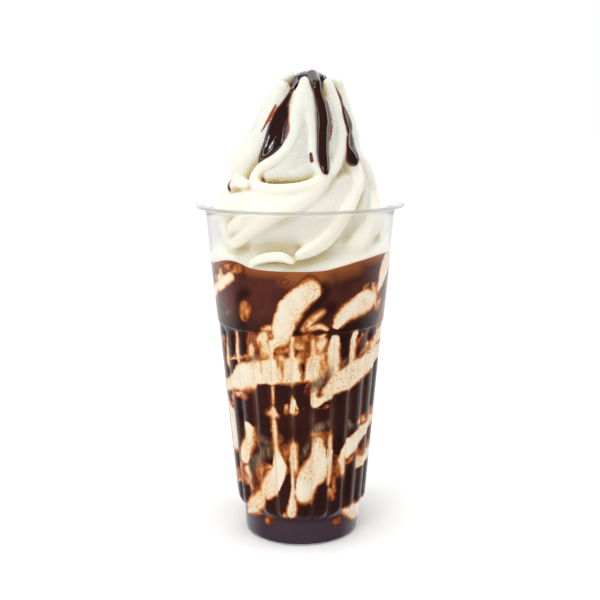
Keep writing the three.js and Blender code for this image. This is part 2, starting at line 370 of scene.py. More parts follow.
def number_inputs(tree: bpy.types.NodeTree, sizes: dict[str, float]) -> dict[str, str]:
    """Gives a node group its named number inputs.

    Args:
        tree: The group.
        sizes: The inputs' names and values.

    Returns:
        The identifier of each input, by its name.
    """
    identifiers = {}
    for label, value in sizes.items():
        socket = tree.interface.new_socket(
            name=label, in_out="INPUT", socket_type="NodeSocketFloat"
        )
        socket.default_value = value
        identifiers[label] = socket.identifier
    return identifiers


class GeometryTree:
    """A geometry tree with one Geometry input, named sizes, and a material put on at its end."""

    def __init__(self, name: str, sizes: dict[str, float]) -> None:
        """Starts the tree.

        Args:
            name: The tree's name.
            sizes: Named inputs and their values; a size in millimetres is given in metres.
        """
        self.tree = bpy.data.node_groups.new(name, "GeometryNodeTree")
        face = self.tree.interface
        face.new_socket(name="Geometry", in_out="INPUT", socket_type="NodeSocketGeometry")
        self.identifiers = number_inputs(self.tree, sizes)
        face.new_socket(name="Material", in_out="INPUT", socket_type="NodeSocketMaterial")
        face.new_socket(name="Geometry", in_out="OUTPUT", socket_type="NodeSocketGeometry")
        self.sizes = sizes
        self.sheet = NodeSheet(self.tree)
        self.given = self.sheet.node("NodeGroupInput")

    def evened(self) -> Socket:
        """Adds nodes that even the skin as often as the size Evening says.

        Returns:
            The socket of the evened geometry.
        """
        size = self.given.outputs
        position = self.sheet.node("GeometryNodeInputPosition").outputs[0]
        even = self.sheet.node("GeometryNodeBlurAttribute", data_type="FLOAT_VECTOR")
        self.sheet.feed(even.inputs["Value"], position)
        self.sheet.feed(even.inputs["Iterations"], size["Evening"])
        inputs = {"Geometry": size["Geometry"], "Position": even.outputs[0]}
        return self.sheet.node("GeometryNodeSetPosition", inputs).outputs[0]

    def end(self, geometry: Socket) -> None:
        """Ends the tree in Realize Instances and Set Material.

        Args:
            geometry: What the tree has made.
        """
        realized = self.sheet.node("GeometryNodeRealizeInstances", {"Geometry": geometry})
        inputs = {"Geometry": realized.outputs[0], "Material": self.given.outputs["Material"]}
        painted = self.sheet.node("GeometryNodeSetMaterial", inputs)
        out = self.sheet.node("NodeGroupOutput")
        self.sheet.feed(out.inputs[0], painted.outputs[0])

    def run(self, target: bpy.types.Object, material: bpy.types.Material) -> bpy.types.Object:
        """Runs the tree on an object and gives the result as a plain mesh object.

        Args:
            target: The object that the tree starts from; it is removed.
            material: The material that the tree puts on.

        Returns:
            A mesh object with the target's name.
        """
        name = target.name
        modifier = target.modifiers.new("Shape", "NODES")
        modifier.node_group = self.tree
        for label, value in self.sizes.items():
            modifier[self.identifiers[label]] = value
        for item in self.tree.interface.items_tree:
            if item.in_out == "INPUT" and item.name == "Material":
                modifier[item.identifier] = material
        graph = bpy.context.evaluated_depsgraph_get()
        mesh = bpy.data.meshes.new_from_object(target.evaluated_get(graph), depsgraph=graph)
        target.modifiers.remove(modifier)
        bpy.data.objects.remove(target)
        mesh.name = name
        return linked(name, mesh)


# ---- finishes


class SharedPatterns:
    """Shader node groups that more than one material uses."""

    def __init__(self) -> None:
        """Builds the groups once."""
        self.grain = self.build_grain()

    def build_grain(self) -> bpy.types.ShaderNodeTree:
        """Builds a two-scale grain.

        Returns:
            The group, whose value is about 0 on average and within 0.5 each way.
        """
        tree = bpy.data.node_groups.new("Grain", "ShaderNodeTree")
        number_inputs(tree, {"Coarse": 350.0, "Fine": 1200.0, "Fine Share": 0.4})
        tree.interface.new_socket(name="Value", in_out="OUTPUT", socket_type="NodeSocketFloat")
        sheet = NodeSheet(tree)
        given = sheet.node("NodeGroupInput")
        place = sheet.place()
        coarse = sheet.noise(place, given.outputs["Coarse"], 3.0)
        fine = sheet.noise(place, given.outputs["Fine"], 3.0, 0.6)
        both = sheet.node(
            "ShaderNodeMix", {0: given.outputs["Fine Share"], 2: coarse, 3: fine}, data_type="FLOAT"
        )
        out = sheet.node("NodeGroupOutput")
        sheet.feed(out.inputs[0], sheet.math("SUBTRACT", both.outputs[0], 0.5))
        return tree

    def place(self, sheet: NodeSheet, coarse: float, fine: float, share: float) -> Socket:
        """Puts the grain in a material and gives its value.

        Args:
            sheet: The material's sheet.
            coarse: Scale of the coarse noise, in cells a metre.
            fine: Scale of the fine noise.
            share: How much of the value is fine.

        Returns:
            The socket of the grain's value.
        """
        made = sheet.node("ShaderNodeGroup", node_tree=self.grain)
        sheet.fill(made, {"Coarse": coarse, "Fine": fine, "Fine Share": share})
        return made.outputs[0]


@dataclass(frozen=True)
class Finish:
    """What every finish has: a name and a way to start its material."""

    name: str

    def start(self) -> tuple[bpy.types.Material, NodeSheet, bpy.types.Node, bpy.types.Node]:
        """Makes an empty node material.

        Returns:
            The material, its sheet, its Principled shader and its output.
        """
        material = bpy.data.materials.new(self.name)
        material.use_nodes = True
        material.node_tree.nodes.clear()
        sheet = NodeSheet(material.node_tree)
        shader = sheet.node("ShaderNodeBsdfPrincipled")
        out = sheet.node("ShaderNodeOutputMaterial")
        sheet.feed(out.inputs["Surface"], shader.outputs[0])
        return material, sheet, shader, out


@dataclass(frozen=True)
class ClearPlastic(Finish):
    """Thin clear moulded plastic: glossy, a little uneven from its mould, frosted at its rim."""

    name: str = "Clear plastic"
    tint: Colour = srgb(240, 240, 239)
    rim_tint: Colour = srgb(251, 251, 250)
    roughness: float = 0.07
    rim_roughness: float = 0.45
    rim_fade: tuple[float, float] = (151.0, 153.5)
    index: float = 1.45
    unevenness: float = 0.05
    mould_grain: tuple[float, float, float] = (60.0, 360.0, 0.2)

    def make(self, patterns: SharedPatterns) -> bpy.types.Material:
        """Makes the material.

        Args:
            patterns: The shared node groups.

        Returns:
            The material.
        """
        material, sheet, shader, out = self.start()
        grain = patterns.place(sheet, *self.mould_grain)
        inputs = {
            "Base Color": sheet.mix(sheet.risen(self.rim_fade), self.tint, self.rim_tint),
            "Roughness": sheet.risen(self.rim_fade, (self.roughness, self.rim_roughness)),
            "IOR": self.index,
            "Transmission Weight": 1.0,
            "Normal": sheet.bump(grain, self.unevenness),
        }
        sheet.fill(shader, inputs)
        rays = sheet.node("ShaderNodeLightPath").outputs
        clear = sheet.node("ShaderNodeBsdfTransparent")
        lamp = sheet.math("MAXIMUM", rays["Is Shadow Ray"], rays["Is Diffuse Ray"])
        both = {0: lamp, 1: shader.outputs[0], 2: clear.outputs[0]}
        sheet.feed(out.inputs["Surface"], sheet.node("ShaderNodeMixShader", both).outputs[0])
        return material


@dataclass(frozen=True)
class MarbledSauce(Finish):
    """Chocolate sauce on the wall, with pale ice cream where none of it is left.

    A grain is its coarse scale, its fine scale and the share of the fine one.
    """

    name: str = "Marbled filling"
    foot_sauce: Colour = srgb(68, 52, 63)
    deep_sauce: Colour = srgb(34, 3, 0)
    wall_sauce: Colour = srgb(52, 20, 15)
    # Painted highlight colour, laid along the flute valleys.
    valley_highlight_sauce: Colour = srgb(118, 72, 58)
    upper_sauce: Colour = srgb(90, 43, 33)
    golden: Colour = srgb(164, 92, 42)
    thin_sauce: Colour = srgb(116, 50, 20)
    orange_sauce: Colour = srgb(190, 106, 46)
    stained: Colour = srgb(222, 166, 108)
    pale: Colour = srgb(238, 214, 176)
    cream: Colour = srgb(241, 230, 209)
    washed: Colour = srgb(243, 218, 170)
    speck: Colour = srgb(218, 142, 60)
    # The smear colours: partly sauce and partly painted reflections on the plastic; the lighter one is
    # a painted highlight.
    smear: Colour = srgb(86, 52, 36)
    smear_highlight: Colour = srgb(170, 138, 108)
    roughness: float = 0.5
    gloss: float = 0.06
    relief: float = 0.1
    stretch: float = 0.7
    wander: float = 2.6
    wander_scale: float = 120.0
    fray: float = 1.5
    fray_grain: tuple[float, float, float] = (380.0, 1500.0, 0.4)
    film_scale: float = 170.0
    film_contrast: float = 7.0
    softness: tuple[float, float] = (0.55, 2.5)
    softness_scale: float = 75.0
    stain_from: tuple[float, float] = (0.22, 0.38)
    bare_from: tuple[float, float] = (0.52, 0.68)
    # How strongly a painted shade line darkens the cream along each flute valley.
    valley_shade_line: tuple[float, float] = (0.0, 0.45)
    cloud_grain: tuple[float, float, float] = (42.0, 190.0, 0.25)
    speck_scale: float = 1050.0
    patch_scale: float = 80.0
    smear_scale: float = 330.0
    smear_stretch: float = 0.3
    foot_fade: tuple[float, float] = (10.0, 17.0)
    shoulder_fade: tuple[float, float] = (100.8, 110.8)

    def make(self, patterns: SharedPatterns) -> bpy.types.Material:
        """Makes the material, which reads the marks stored on the filling's mesh.

        Args:
            patterns: The shared node groups.

        Returns:
            The material.
        """
        material, sheet, shader, _ = self.start()
        marks = {mark: sheet.stored(mark) for mark in Mark}
        valley = sheet.stored(Trait.VALLEY)
        place = sheet.place()
        level, uneven = self.level(sheet, patterns, marks, place)
        stain = sheet.ramp(
            level,
            [
                (0.26, self.wall_sauce),
                (0.38, self.thin_sauce),
                (0.48, self.orange_sauce),
                (0.54, self.stained),
                (0.61, self.pale),
                (0.78, self.cream),
            ],
        )
        # Painted shade: a thin line of the stained colour along each flute valley.
        stain = sheet.mix(sheet.ranged(valley, 0.75, 1.0, self.valley_shade_line), stain, self.stained)
        body = self.body(sheet, patterns, marks, valley)
        colour = sheet.mix(sheet.ranged(level, *self.stain_from), body, stain)
        colour = self.speckled(sheet, colour, level, place)
        colour = self.smeared(sheet, colour, marks[Mark.SMEAR_AND_REFLECTION], uneven, place)
        inputs = {
            "Base Color": colour,
            "Roughness": self.roughness,
            "Specular IOR Level": self.gloss,
            "Normal": sheet.bump(level, self.relief),
        }
        sheet.fill(shader, inputs)
        return material

    def level(
        self, sheet: NodeSheet, patterns: SharedPatterns, marks: dict[Mark, Socket], place: Socket
    ) -> tuple[Socket, Socket]:
        """How bare of sauce the wall is: 0 under thick sauce and 1 where only cream shows.

        Args:
            sheet: The material's sheet.
            patterns: The shared node groups.
            marks: The marks stored on the mesh.
            place: Object coordinates.

        Returns:
            The socket of the level, and the socket of the noise that frays its edges.
        """
        drawn = sheet.vector("MULTIPLY", place, (1.0, 1.0, self.stretch))
        broad = sheet.math("SUBTRACT", sheet.noise(drawn, self.wander_scale, 1.5), 0.5)
        grain = patterns.place(sheet, *self.fray_grain)
        wandering = sheet.math("MULTIPLY", broad, self.wander)
        uneven = sheet.math("MULTIPLY_ADD", grain, 2 * self.fray, wandering)
        film = sheet.math("SUBTRACT", sheet.noise(drawn, self.film_scale, 4.0, 0.55), 0.54)
        film = sheet.math("MULTIPLY", film, self.film_contrast)
        capped = sheet.math("MINIMUM", marks[Mark.CARAMEL], film)
        bare = sheet.math("MAXIMUM", sheet.math("ADD", marks[Mark.CREAM], uneven), capped)
        softer = sheet.noise(place, self.softness_scale, 1.0)
        width = sheet.ranged(softer, 0.35, 0.65, self.softness)
        return sheet.ranged(sheet.math("DIVIDE", bare, width), -2.0, 2.0), uneven

    def body(
        self, sheet: NodeSheet, patterns: SharedPatterns, marks: dict[Mark, Socket], valley: Socket
    ) -> Socket:
        """Colour of the thick sauce, greyer at the foot, redder at the top, with a painted highlight
        in the valleys.

        Args:
            sheet: The material's sheet.
            patterns: The shared node groups.
            marks: The marks stored on the mesh.
            valley: How near a place is to the valley between two flutes.

        Returns:
            The socket of the colour.
        """
        foot = sheet.risen(self.foot_fade)
        body = sheet.mix(foot, self.foot_sauce, self.wall_sauce)
        body = sheet.mix(sheet.risen(self.shoulder_fade), body, self.upper_sauce)
        cloudy = patterns.place(sheet, *self.cloud_grain)
        shade = sheet.math("MULTIPLY", sheet.ranged(cloudy, -0.12, 0.2, (0.0, 0.8)), foot)
        body = sheet.mix(shade, body, self.deep_sauce)
        # Painted highlight: the sauce is lightened along the flute valleys, in cloudy patches.
        valley_highlight = sheet.math("MULTIPLY", valley, sheet.ranged(cloudy, 0.1, -0.15, (0.15, 0.75)))
        body = sheet.mix(valley_highlight, body, self.valley_highlight_sauce)
        glow = sheet.ranged(marks[Mark.GLOW], -5.0, 2.5, (0.0, 0.9))
        body = sheet.mix(glow, body, self.golden)
        thick = sheet.ranged(marks[Mark.SAUCE], -2.5, 0.5, (0.0, 0.85))
        return sheet.mix(thick, body, self.deep_sauce)

    def speckled(self, sheet: NodeSheet, colour: Socket, level: Socket, place: Socket) -> Socket:
        """Washes the cream with gold in patches, and sprinkles fine brown specks there.

        Args:
            sheet: The material's sheet.
            colour: The colour so far.
            level: How bare of sauce the wall is.
            place: Object coordinates.

        Returns:
            The socket of the colour with its specks.
        """
        patch = sheet.ranged(sheet.noise(place, self.patch_scale, 1.0), 0.40, 0.60)
        wash = sheet.math("MULTIPLY", patch, sheet.ranged(level, *self.bare_from, (0.0, 0.4)))
        colour = sheet.mix(wash, colour, self.washed)
        fine = sheet.ranged(sheet.noise(place, self.speck_scale, 3.0, 0.7), 0.50, 0.62)
        inside = sheet.ranged(level, *self.bare_from, (0.0, 0.8))
        dots = sheet.math("MULTIPLY", sheet.math("MULTIPLY", fine, patch), inside)
        return sheet.mix(dots, colour, self.speck)

    def smeared(
        self, sheet: NodeSheet, colour: Socket, smear_and_reflection: Socket, uneven: Socket, place: Socket
    ) -> Socket:
        """Lays the streaky grey-brown smears over the rest: partly smeared sauce and partly painted
        reflections on the plastic, with painted highlights in their light streaks.

        Args:
            sheet: The material's sheet.
            colour: The colour so far.
            smear_and_reflection: How far a place is inside a smear, which is partly a painted
                reflection.
            uneven: The noise that frays edges.
            place: Object coordinates.

        Returns:
            The socket of the colour with its smears.
        """
        drawn = sheet.vector("MULTIPLY", place, (1.0, 1.0, self.smear_stretch))
        streaky = sheet.ranged(sheet.noise(drawn, self.smear_scale, 3.0, 0.55), 0.40, 0.68)
        # The lighter streaks are painted highlights.
        smear = sheet.mix(streaky, self.smear, self.smear_highlight)
        wisps = sheet.math("ADD", smear_and_reflection, sheet.math("MULTIPLY", uneven, 1.4))
        return sheet.mix(sheet.ranged(wisps, -1.0, 1.2, (0.0, 0.7)), colour, smear)


@dataclass(frozen=True)
class SoftIceCream(Finish):
    """Vanilla ice cream: ivory, a little translucent and porous in its folds, with painted yellow
    shade in its creases and painted light lower down.
    """

    name: str = "Soft-serve ice cream"
    ivory: Colour = srgb(226, 226, 216)
    # Painted light: the lower ice cream, pressed on the wall, is brightened where less light falls.
    pressed: Colour = srgb(249, 243, 228)
    # Painted shade in the creases.
    fold_shade: Colour = srgb(237, 223, 174)
    roughness: tuple[float, float] = (0.30, 0.55)
    glow: float = 0.6
    glow_depth: float = 4.0
    glow_radius: tuple[float, float, float] = (1.0, 0.8, 0.45)
    painted_light_fade: tuple[float, float] = (140.0, 185.0)
    mottling: float = 0.25
    pore_grain: tuple[float, float, float] = (300.0, 1500.0, 0.6)
    pore_depth: float = 0.9
    least_pores: float = 0.06

    def make(self, patterns: SharedPatterns) -> bpy.types.Material:
        """Makes the material, which reads the painted crease shade and the pore marks of the mesh.

        Args:
            patterns: The shared node groups.

        Returns:
            The material.
        """
        material, sheet, shader, _ = self.start()
        porous = sheet.stored(Trait.POROUS)
        grain = patterns.place(sheet, *self.pore_grain)
        mottled = sheet.math("MULTIPLY", grain, self.mottling)
        # Painted shade: creases are tinted toward the yellow fold shade; the mottling is random.
        share = sheet.math("ADD", sheet.stored(Trait.CREASE), mottled, clamp=True)
        # Painted light: brighter below, fading to plain ivory higher up.
        ivory_with_painted_light = sheet.mix(sheet.risen(self.painted_light_fade), self.pressed, self.ivory)
        fine = sheet.noise(sheet.place(), self.pore_grain[1], 2.0, 0.6)
        pits = sheet.ranged(fine, 0.35, 0.6)
        deep = sheet.math("MULTIPLY", pits, sheet.math("ADD", porous, self.least_pores))
        inputs = {
            "Base Color": sheet.mix(share, ivory_with_painted_light, self.fold_shade),
            "Roughness": sheet.ranged(sheet.math("ADD", porous, grain), 0.0, 1.0, self.roughness),
            "Subsurface Weight": self.glow,
            "Subsurface Radius": self.glow_radius,
            "Subsurface Scale": self.glow_depth * MM,
            "Normal": sheet.bump(deep, 0.6, self.pore_depth),
        }
        sheet.fill(shader, inputs)
        return material


@dataclass(frozen=True)
class ThickSauce(Finish):
    """Wet chocolate sauce, almost black where it is thick and orange brown where it thins out."""

    name: str = "Chocolate sauce"
    deep: Colour = srgb(40, 18, 14)
    middle: Colour = srgb(64, 26, 16)
    thin: Colour = srgb(176, 78, 24)
    thin_at: float = 0.14
    middle_at: float = 0.42
    deep_at: float = 0.75
    mottling: float = 0.35
    grain: tuple[float, float, float] = (300.0, 900.0, 0.3)
    relief: float = 0.12
    roughness: float = 0.06
    wet_coat: float = 0.8

    def make(self, patterns: SharedPatterns) -> bpy.types.Material:
        """Makes the material, which reads the film's thickness stored on the mesh.

        Args:
            patterns: The shared node groups.

        Returns:
            The material.
        """
        material, sheet, shader, _ = self.start()
        grain = patterns.place(sheet, *self.grain)
        mottled = sheet.math("MULTIPLY", grain, self.mottling)
        level = sheet.math("ADD", sheet.stored(Trait.FILM), mottled)
        places = (self.thin_at, self.middle_at, self.deep_at)
        colours = (self.thin, self.middle, self.deep)
        inputs = {
            "Base Color": sheet.ramp(level, list(zip(places, colours))),
            "Roughness": self.roughness,
            "Coat Weight": self.wet_coat,
            "Coat Roughness": self.roughness / 2,
            "Normal": sheet.bump(grain, self.relief),
        }
        sheet.fill(shader, inputs)
        return material


@dataclass(frozen=True)
class StudioSurface(Finish):
    """The plain pale floor."""

    name: str = "Studio floor"
    colour: Colour = (0.97, 0.97, 0.97, 1.0)
    roughness: float = 0.9
    lit_from_below: float = 0.05

    def make(self) -> bpy.types.Material:
        """Makes the material.

        Returns:
            The material.
        """
        material, sheet, shader, _ = self.start()
        inputs = {
            "Base Color": self.colour,
            "Roughness": self.roughness,
            "Emission Color": self.colour,
            "Emission Strength": self.lit_from_below,
        }
        sheet.fill(shader, inputs)
        return material


# ---- voxel fields


@dataclass
class VoxelField:
    """A distance sampled on a regular grid: negative inside a form, positive outside it."""

    low: tuple[float, float, float]
    high: tuple[float, float, float]
    step: float
    values: np.ndarray = field(init=False)

    def __post_init__(self) -> None:
        """Fills the grid with empty space."""
        shape = [int(math.ceil((b - a) / self.step)) + 1 for a, b in zip(self.low, self.high)]
        self.values = np.full(shape, FAR, np.float32)

    def axes(self, window: tuple[slice, ...] | None = None) -> tuple[np.ndarray, ...]:
        """Grid coordinates, shaped to spread over a window.

        Args:
            window: The part of the grid that is asked for, or None for all of it.

        Returns:
            The x, y and z coordinates.
        """
        window = window or (slice(None),) * 3
        lines = []
        for axis, (size, part) in enumerate(zip(self.values.shape, window)):
            line = self.low[axis] + self.step * np.arange(size)[part]
            shape = [1, 1, 1]
            shape[axis] = -1
            lines.append(line.reshape(shape).astype(np.float32))
        return tuple(lines)

    def window(self, low: np.ndarray, high: np.ndarray) -> tuple[slice, ...]:
        """The part of the grid between two corners.

        Args:
            low: The corner with the least coordinates.
            high: The corner with the greatest coordinates.

        Returns:
            One slice an axis.
        """
        parts = []
        for axis, size in enumerate(self.values.shape):
            start = int(np.clip((low[axis] - self.low[axis]) // self.step, 0, size))
            stop = int(np.clip((high[axis] - self.low[axis]) // self.step + 2, 0, size))
            parts.append(slice(start, stop))
        return tuple(parts)

    def join(self, window: tuple[slice, ...], distance: np.ndarray, softness: float) -> None:
        """Joins a form to what is there.

        Args:
            window: The part of the grid that the form reaches.
            distance: Distance to the form at each place in it.
            softness: How wide the seam between the two is filled.
        """
        here = self.values[window]
        overlap = np.maximum(softness - np.abs(here - distance), 0) / softness
        self.values[window] = np.minimum(here, distance) - overlap * overlap * softness / 4

    def chain(
        self, points: np.ndarray, radii: np.ndarray, reach: float
    ) -> tuple[tuple[slice, ...], np.ndarray, np.ndarray]:
        """Distance to a chain of tapered rods.

        Args:
            points: Its points, one row each.
            radii: Its radius at each point.
            reach: How far past its skin the distance is wanted.

        Returns:
            The window that holds the chain, the distance in it and the nearest rod's radius.
        """
        span = radii.max() + reach
        whole = self.window(points.min(0) - span, points.max(0) + span)
        start = [part.start for part in whole]
        distance = np.full([part.stop - part.start for part in whole], FAR, np.float32)
        nearest = np.ones_like(distance)
        for a, b, ra, rb in zip(points[:-1], points[1:], radii[:-1], radii[1:]):
            part = self.window(np.minimum(a, b) - span, np.maximum(a, b) + span)
            x, y, z = self.axes(part)
            along = b - a
            t = (x - a[0]) * along[0] + (y - a[1]) * along[1] + (z - a[2]) * along[2]
            t = np.clip(t / max(float(along @ along), 1e-9), 0, 1)
            away = (
                (x - a[0] - t * along[0]) ** 2
                + (y - a[1] - t * along[1]) ** 2
                + (z - a[2] - t * along[2]) ** 2
            )
            local = tuple(slice(p.start - s, p.stop - s) for p, s in zip(part, start))
            radius = ra + t * (rb - ra)
            rod = np.sqrt(away) - radius
            closer = rod < distance[local]
            distance[local] = np.where(closer, rod, distance[local])
            nearest[local] = np.where(closer, radius, nearest[local])
        return whole, distance, nearest

    def sample(self, points: np.ndarray) -> np.ndarray:
        """The field at any points, on straight lines between its grid points.

        Args:
            points: The points, one row each.

        Returns:
            The distance at each.
        """
        place = (np.asarray(points, float) - self.low) / self.step
        limit = np.array(self.values.shape) - 2
        cell = np.clip(np.floor(place).astype(int), 0, limit)
        share = np.clip(place - cell, 0, 1)
        total = np.zeros(len(cell))
        for i, j, k in np.ndindex(2, 2, 2):
            weight = (
                (share[:, 0] if i else 1 - share[:, 0])
                * (share[:, 1] if j else 1 - share[:, 1])
                * (share[:, 2] if k else 1 - share[:, 2])
            )
            total += weight * self.values[cell[:, 0] + i, cell[:, 1] + j, cell[:, 2] + k]
        return total

    def slope(self, points: np.ndarray) -> np.ndarray:
        """Direction in which the field grows.

        Args:
            points: Where it is asked for, one row each.

        Returns:
            One unit direction a point.
        """
        shifts = np.eye(3) * self.step
        parts = [self.sample(points + s) - self.sample(points - s) for s in shifts]
        grown = np.stack(parts, axis=1)
        return grown / np.maximum(np.linalg.norm(grown, axis=1, keepdims=True), 1e-9)

    def skin(self) -> Net:
        """The form's skin as a net: one vertex in each grid cell that it runs through.

        Returns:
            The vertices and the quads between them, facing out.
        """
        values = self.values
        inside = values < 0
        cells = tuple(size - 1 for size in values.shape)
        count = np.zeros(cells, np.int16)
        total = np.zeros(cells + (3,), np.float32)
        crossings = []
        for axis in range(3):
            first = [slice(None)] * 3
            second = [slice(None)] * 3
            first[axis], second[axis] = slice(0, -1), slice(1, None)
            a, b = values[tuple(first)], values[tuple(second)]
            crossed = inside[tuple(first)] != inside[tuple(second)]
            share = np.where(crossed, a / np.where(crossed, a - b, 1), 0)
            crossings.append((crossed, inside[tuple(first)]))
            others = [other for other in range(3) if other != axis]
            for shift in ((0, 0), (0, 1), (1, 0), (1, 1)):
                part = [slice(None)] * 3
                for other, step in zip(others, shift):
                    part[other] = slice(step, step + cells[other])
                hit = crossed[tuple(part)]
                count += hit
                total[..., axis] += share[tuple(part)] * hit
                for other, step in zip(others, shift):
                    total[..., other] += hit * step
        used = count > 0
        number = np.full(cells, -1, np.int64)
        number[used] = np.arange(used.sum())
        places = np.argwhere(used) + total[used] / count[used][:, None]
        quads = []
        for axis, (crossed, starts_inside) in enumerate(crossings):
            u, v = [(axis + 1) % 3, (axis + 2) % 3]
            edges = np.argwhere(crossed)
            edges = edges[(edges[:, u] > 0) & (edges[:, v] > 0)]
            edges = edges[(edges[:, u] < cells[u]) & (edges[:, v] < cells[v])]
            around = []
            for du, dv in ((1, 1), (0, 1), (0, 0), (1, 0)):
                cell = edges.copy()
                cell[:, u] -= du
                cell[:, v] -= dv
                around.append(number[tuple(cell.T)])
            quad = np.stack(around, axis=1)
            outward = starts_inside[tuple(edges.T)]
            quad[~outward] = quad[~outward][:, ::-1]
            quads.append(quad)
        return np.array(self.low) + places * self.step, np.vstack(quads)


def grown_only(vertices: np.ndarray, quads: np.ndarray, least: int) -> Net:
    """Keeps the connected pieces of a net that are large enough, and drops loose scraps.

    Args:
        vertices: Places of the net's vertices.
        quads: Its faces.
        least: The fewest vertices that a piece may have.

    Returns:
        The vertices and faces that are kept.
    """
    label = np.arange(len(vertices))
    pairs = np.vstack([quads[:, [0, 1]], quads[:, [1, 2]], quads[:, [2, 3]], quads[:, [3, 0]]])
    while True:
        lowest = label.copy()
        np.minimum.at(lowest, pairs[:, 0], label[pairs[:, 1]])
        np.minimum.at(lowest, pairs[:, 1], label[pairs[:, 0]])
        lowest = lowest[lowest]
        if np.array_equal(lowest, label):
            break
        label = lowest
    _, owner, sizes = np.unique(label, return_inverse=True, return_counts=True)
    keep = sizes[owner] >= least
    number = np.cumsum(keep) - 1
    return vertices[keep], number[quads[keep[quads[:, 0]]]]


# ---- cup


@dataclass
class CupShape:
    """Form of the cup's wall, which the filling and the swirl are fitted to."""

    rim_radius: float
    rim_height: float
    foot_radius: float = 27.05
    foot_taper: float = 0.04
    foot_height: float = 10.5
    bowl_height: float = 19.5
    bowl_radius: float = 30.9
    flute_top: float = 101.0
    flute_top_radius: float = 38.15
    shoulder_height: float = 101.8
    shoulder_radius: float = 38.6
    neck_height: float = 149.5
    neck_radius: float = 42.7
    upper_bulge: float = 0.25
    wall: float = 0.8
    floor: float = 1.2
    flutes: int = 24
    flute_depth: float = 1.1
    valley_bearing: float = 8.5
    flute_end: float = 12.5
    flute_end_length: float = 5.5
    flute_fade: float = 3.8
    flute_power: float = 2.2

    def radius(self, height: np.ndarray) -> np.ndarray:
        """Outer radius of the wall over the crowns of its flutes.

        Args:
            height: Heights over the floor.

        Returns:
            The radius at each height.
        """
        height = np.asarray(height, float)
        foot = self.foot_radius + self.foot_taper * height
        top_of_foot = self.foot_radius + self.foot_taper * self.foot_height
        rise = np.clip((height - self.foot_height) / (self.bowl_height - self.foot_height), 0, 1)
        bowl = top_of_foot + (self.bowl_radius - top_of_foot) * np.sin(rise * math.pi / 2)
        fluted = np.interp(
            height, [self.bowl_height, self.flute_top], [self.bowl_radius, self.flute_top_radius]
        )
        share = (height - self.shoulder_height) / (self.neck_height - self.shoulder_height)
        share = np.clip(share, 0, 1)
        upper = self.shoulder_radius + (self.neck_radius - self.shoulder_radius) * share
        upper = upper + self.upper_bulge * np.sin(share * math.pi)
        low = np.where(height <= self.foot_height, foot, bowl)
        middle = np.where(height <= self.bowl_height, low, fluted)
        step = smooth(height, self.flute_top, self.shoulder_height)
        return middle + (upper - middle) * step

    def inner(self, height: np.ndarray) -> np.ndarray:
        """Inner radius of the wall."""
        return self.radius(height) - self.wall

    def crown(self, bearing: np.ndarray) -> np.ndarray:
        """How near a bearing is to the middle of its flute.

        Args:
            bearing: Bearings in degrees.

        Returns:
            1 in the middle of a flute, and 0 in the valley between two.
        """
        turns = (np.asarray(bearing) - self.valley_bearing) * self.flutes / FULL_TURN
        across = 2 * (turns - np.floor(turns)) - 1
        return 1 - np.abs(across) ** self.flute_power

    def bearings(self, steps_a_flute: int) -> np.ndarray:
        """Bearings of the vertices in one ring, spread alike over every flute."""
        segments = self.flutes * steps_a_flute
        return self.valley_bearing + np.arange(segments) * FULL_TURN / segments

    def fluting(self) -> GeometryTree:
        """The tree that presses the flutes into a turned wall.

        Returns:
            The tree, with its sizes in metres as named inputs.
        """
        sizes = {
            "Flutes": float(self.flutes),
            "Flute Depth": self.flute_depth * MM,
            "Valley Bearing": math.radians(self.valley_bearing),
            "Flute Power": self.flute_power,
            "Foot Height": self.foot_height * MM,
            "End Height": self.flute_end * MM,
            "End Length": self.flute_end_length * MM,
            "Top Height": self.shoulder_height * MM,
            "Top Fade": self.flute_fade * MM,
            "Least Radius": self.foot_radius / 2 * MM,
        }
        tree = GeometryTree("Fluted wall", sizes)
        sheet, size = tree.sheet, tree.given.outputs
        position = sheet.node("GeometryNodeInputPosition").outputs[0]
        parts = sheet.node("ShaderNodeSeparateXYZ", {0: position}).outputs
        height = parts["Z"]
        bearing = sheet.math("ARCTAN2", parts["X"], sheet.math("MULTIPLY", parts["Y"], -1.0))
        from_valley = sheet.math("SUBTRACT", bearing, size["Valley Bearing"])
        pitch = sheet.math("DIVIDE", 2 * math.pi, size["Flutes"])
        turns = sheet.math("FRACT", sheet.math("DIVIDE", from_valley, pitch))
        across = sheet.math("ABSOLUTE", sheet.math("MULTIPLY_ADD", turns, 2.0, -1.0))
        bowed = sheet.math("POWER", across, size["Flute Power"])
        above_end = sheet.math("SUBTRACT", height, size["End Height"])
        run = sheet.math("DIVIDE", above_end, size["End Length"])
        to_end = sheet.math("SUBTRACT", 1.0, run, clamp=True)
        rounded = sheet.math("ADD", bowed, sheet.math("MULTIPLY", to_end, to_end))
        section = sheet.math("MINIMUM", rounded, 1.0)
        above_foot = sheet.math("SUBTRACT", height, size["Foot Height"])
        foot_run = sheet.math("SUBTRACT", size["End Height"], size["Foot Height"])
        fade_in = sheet.math("DIVIDE", above_foot, foot_run, clamp=True)
        below_top = sheet.math("SUBTRACT", size["Top Height"], height)
        fade_out = sheet.math("DIVIDE", below_top, size["Top Fade"], clamp=True)
        fades = sheet.math("MULTIPLY", fade_in, fade_out)
        sink = sheet.math("MULTIPLY", sheet.math("MULTIPLY", section, fades), size["Flute Depth"])
        flat = sheet.node("ShaderNodeCombineXYZ", {0: parts["X"], 1: parts["Y"], 2: 0.0}).outputs[0]
        inward = sheet.scaled(sheet.vector("NORMALIZE", flat), sheet.math("MULTIPLY", sink, -1.0))
        radius = sheet.node("ShaderNodeVectorMath", {0: flat}, operation="LENGTH").outputs["Value"]
        on_wall = sheet.math("GREATER_THAN", radius, size["Least Radius"])
        moved = sheet.node(
            "GeometryNodeSetPosition",
            {"Geometry": size["Geometry"], "Selection": on_wall, "Offset": inward},
        )
        tree.end(moved.outputs[0])
        return tree


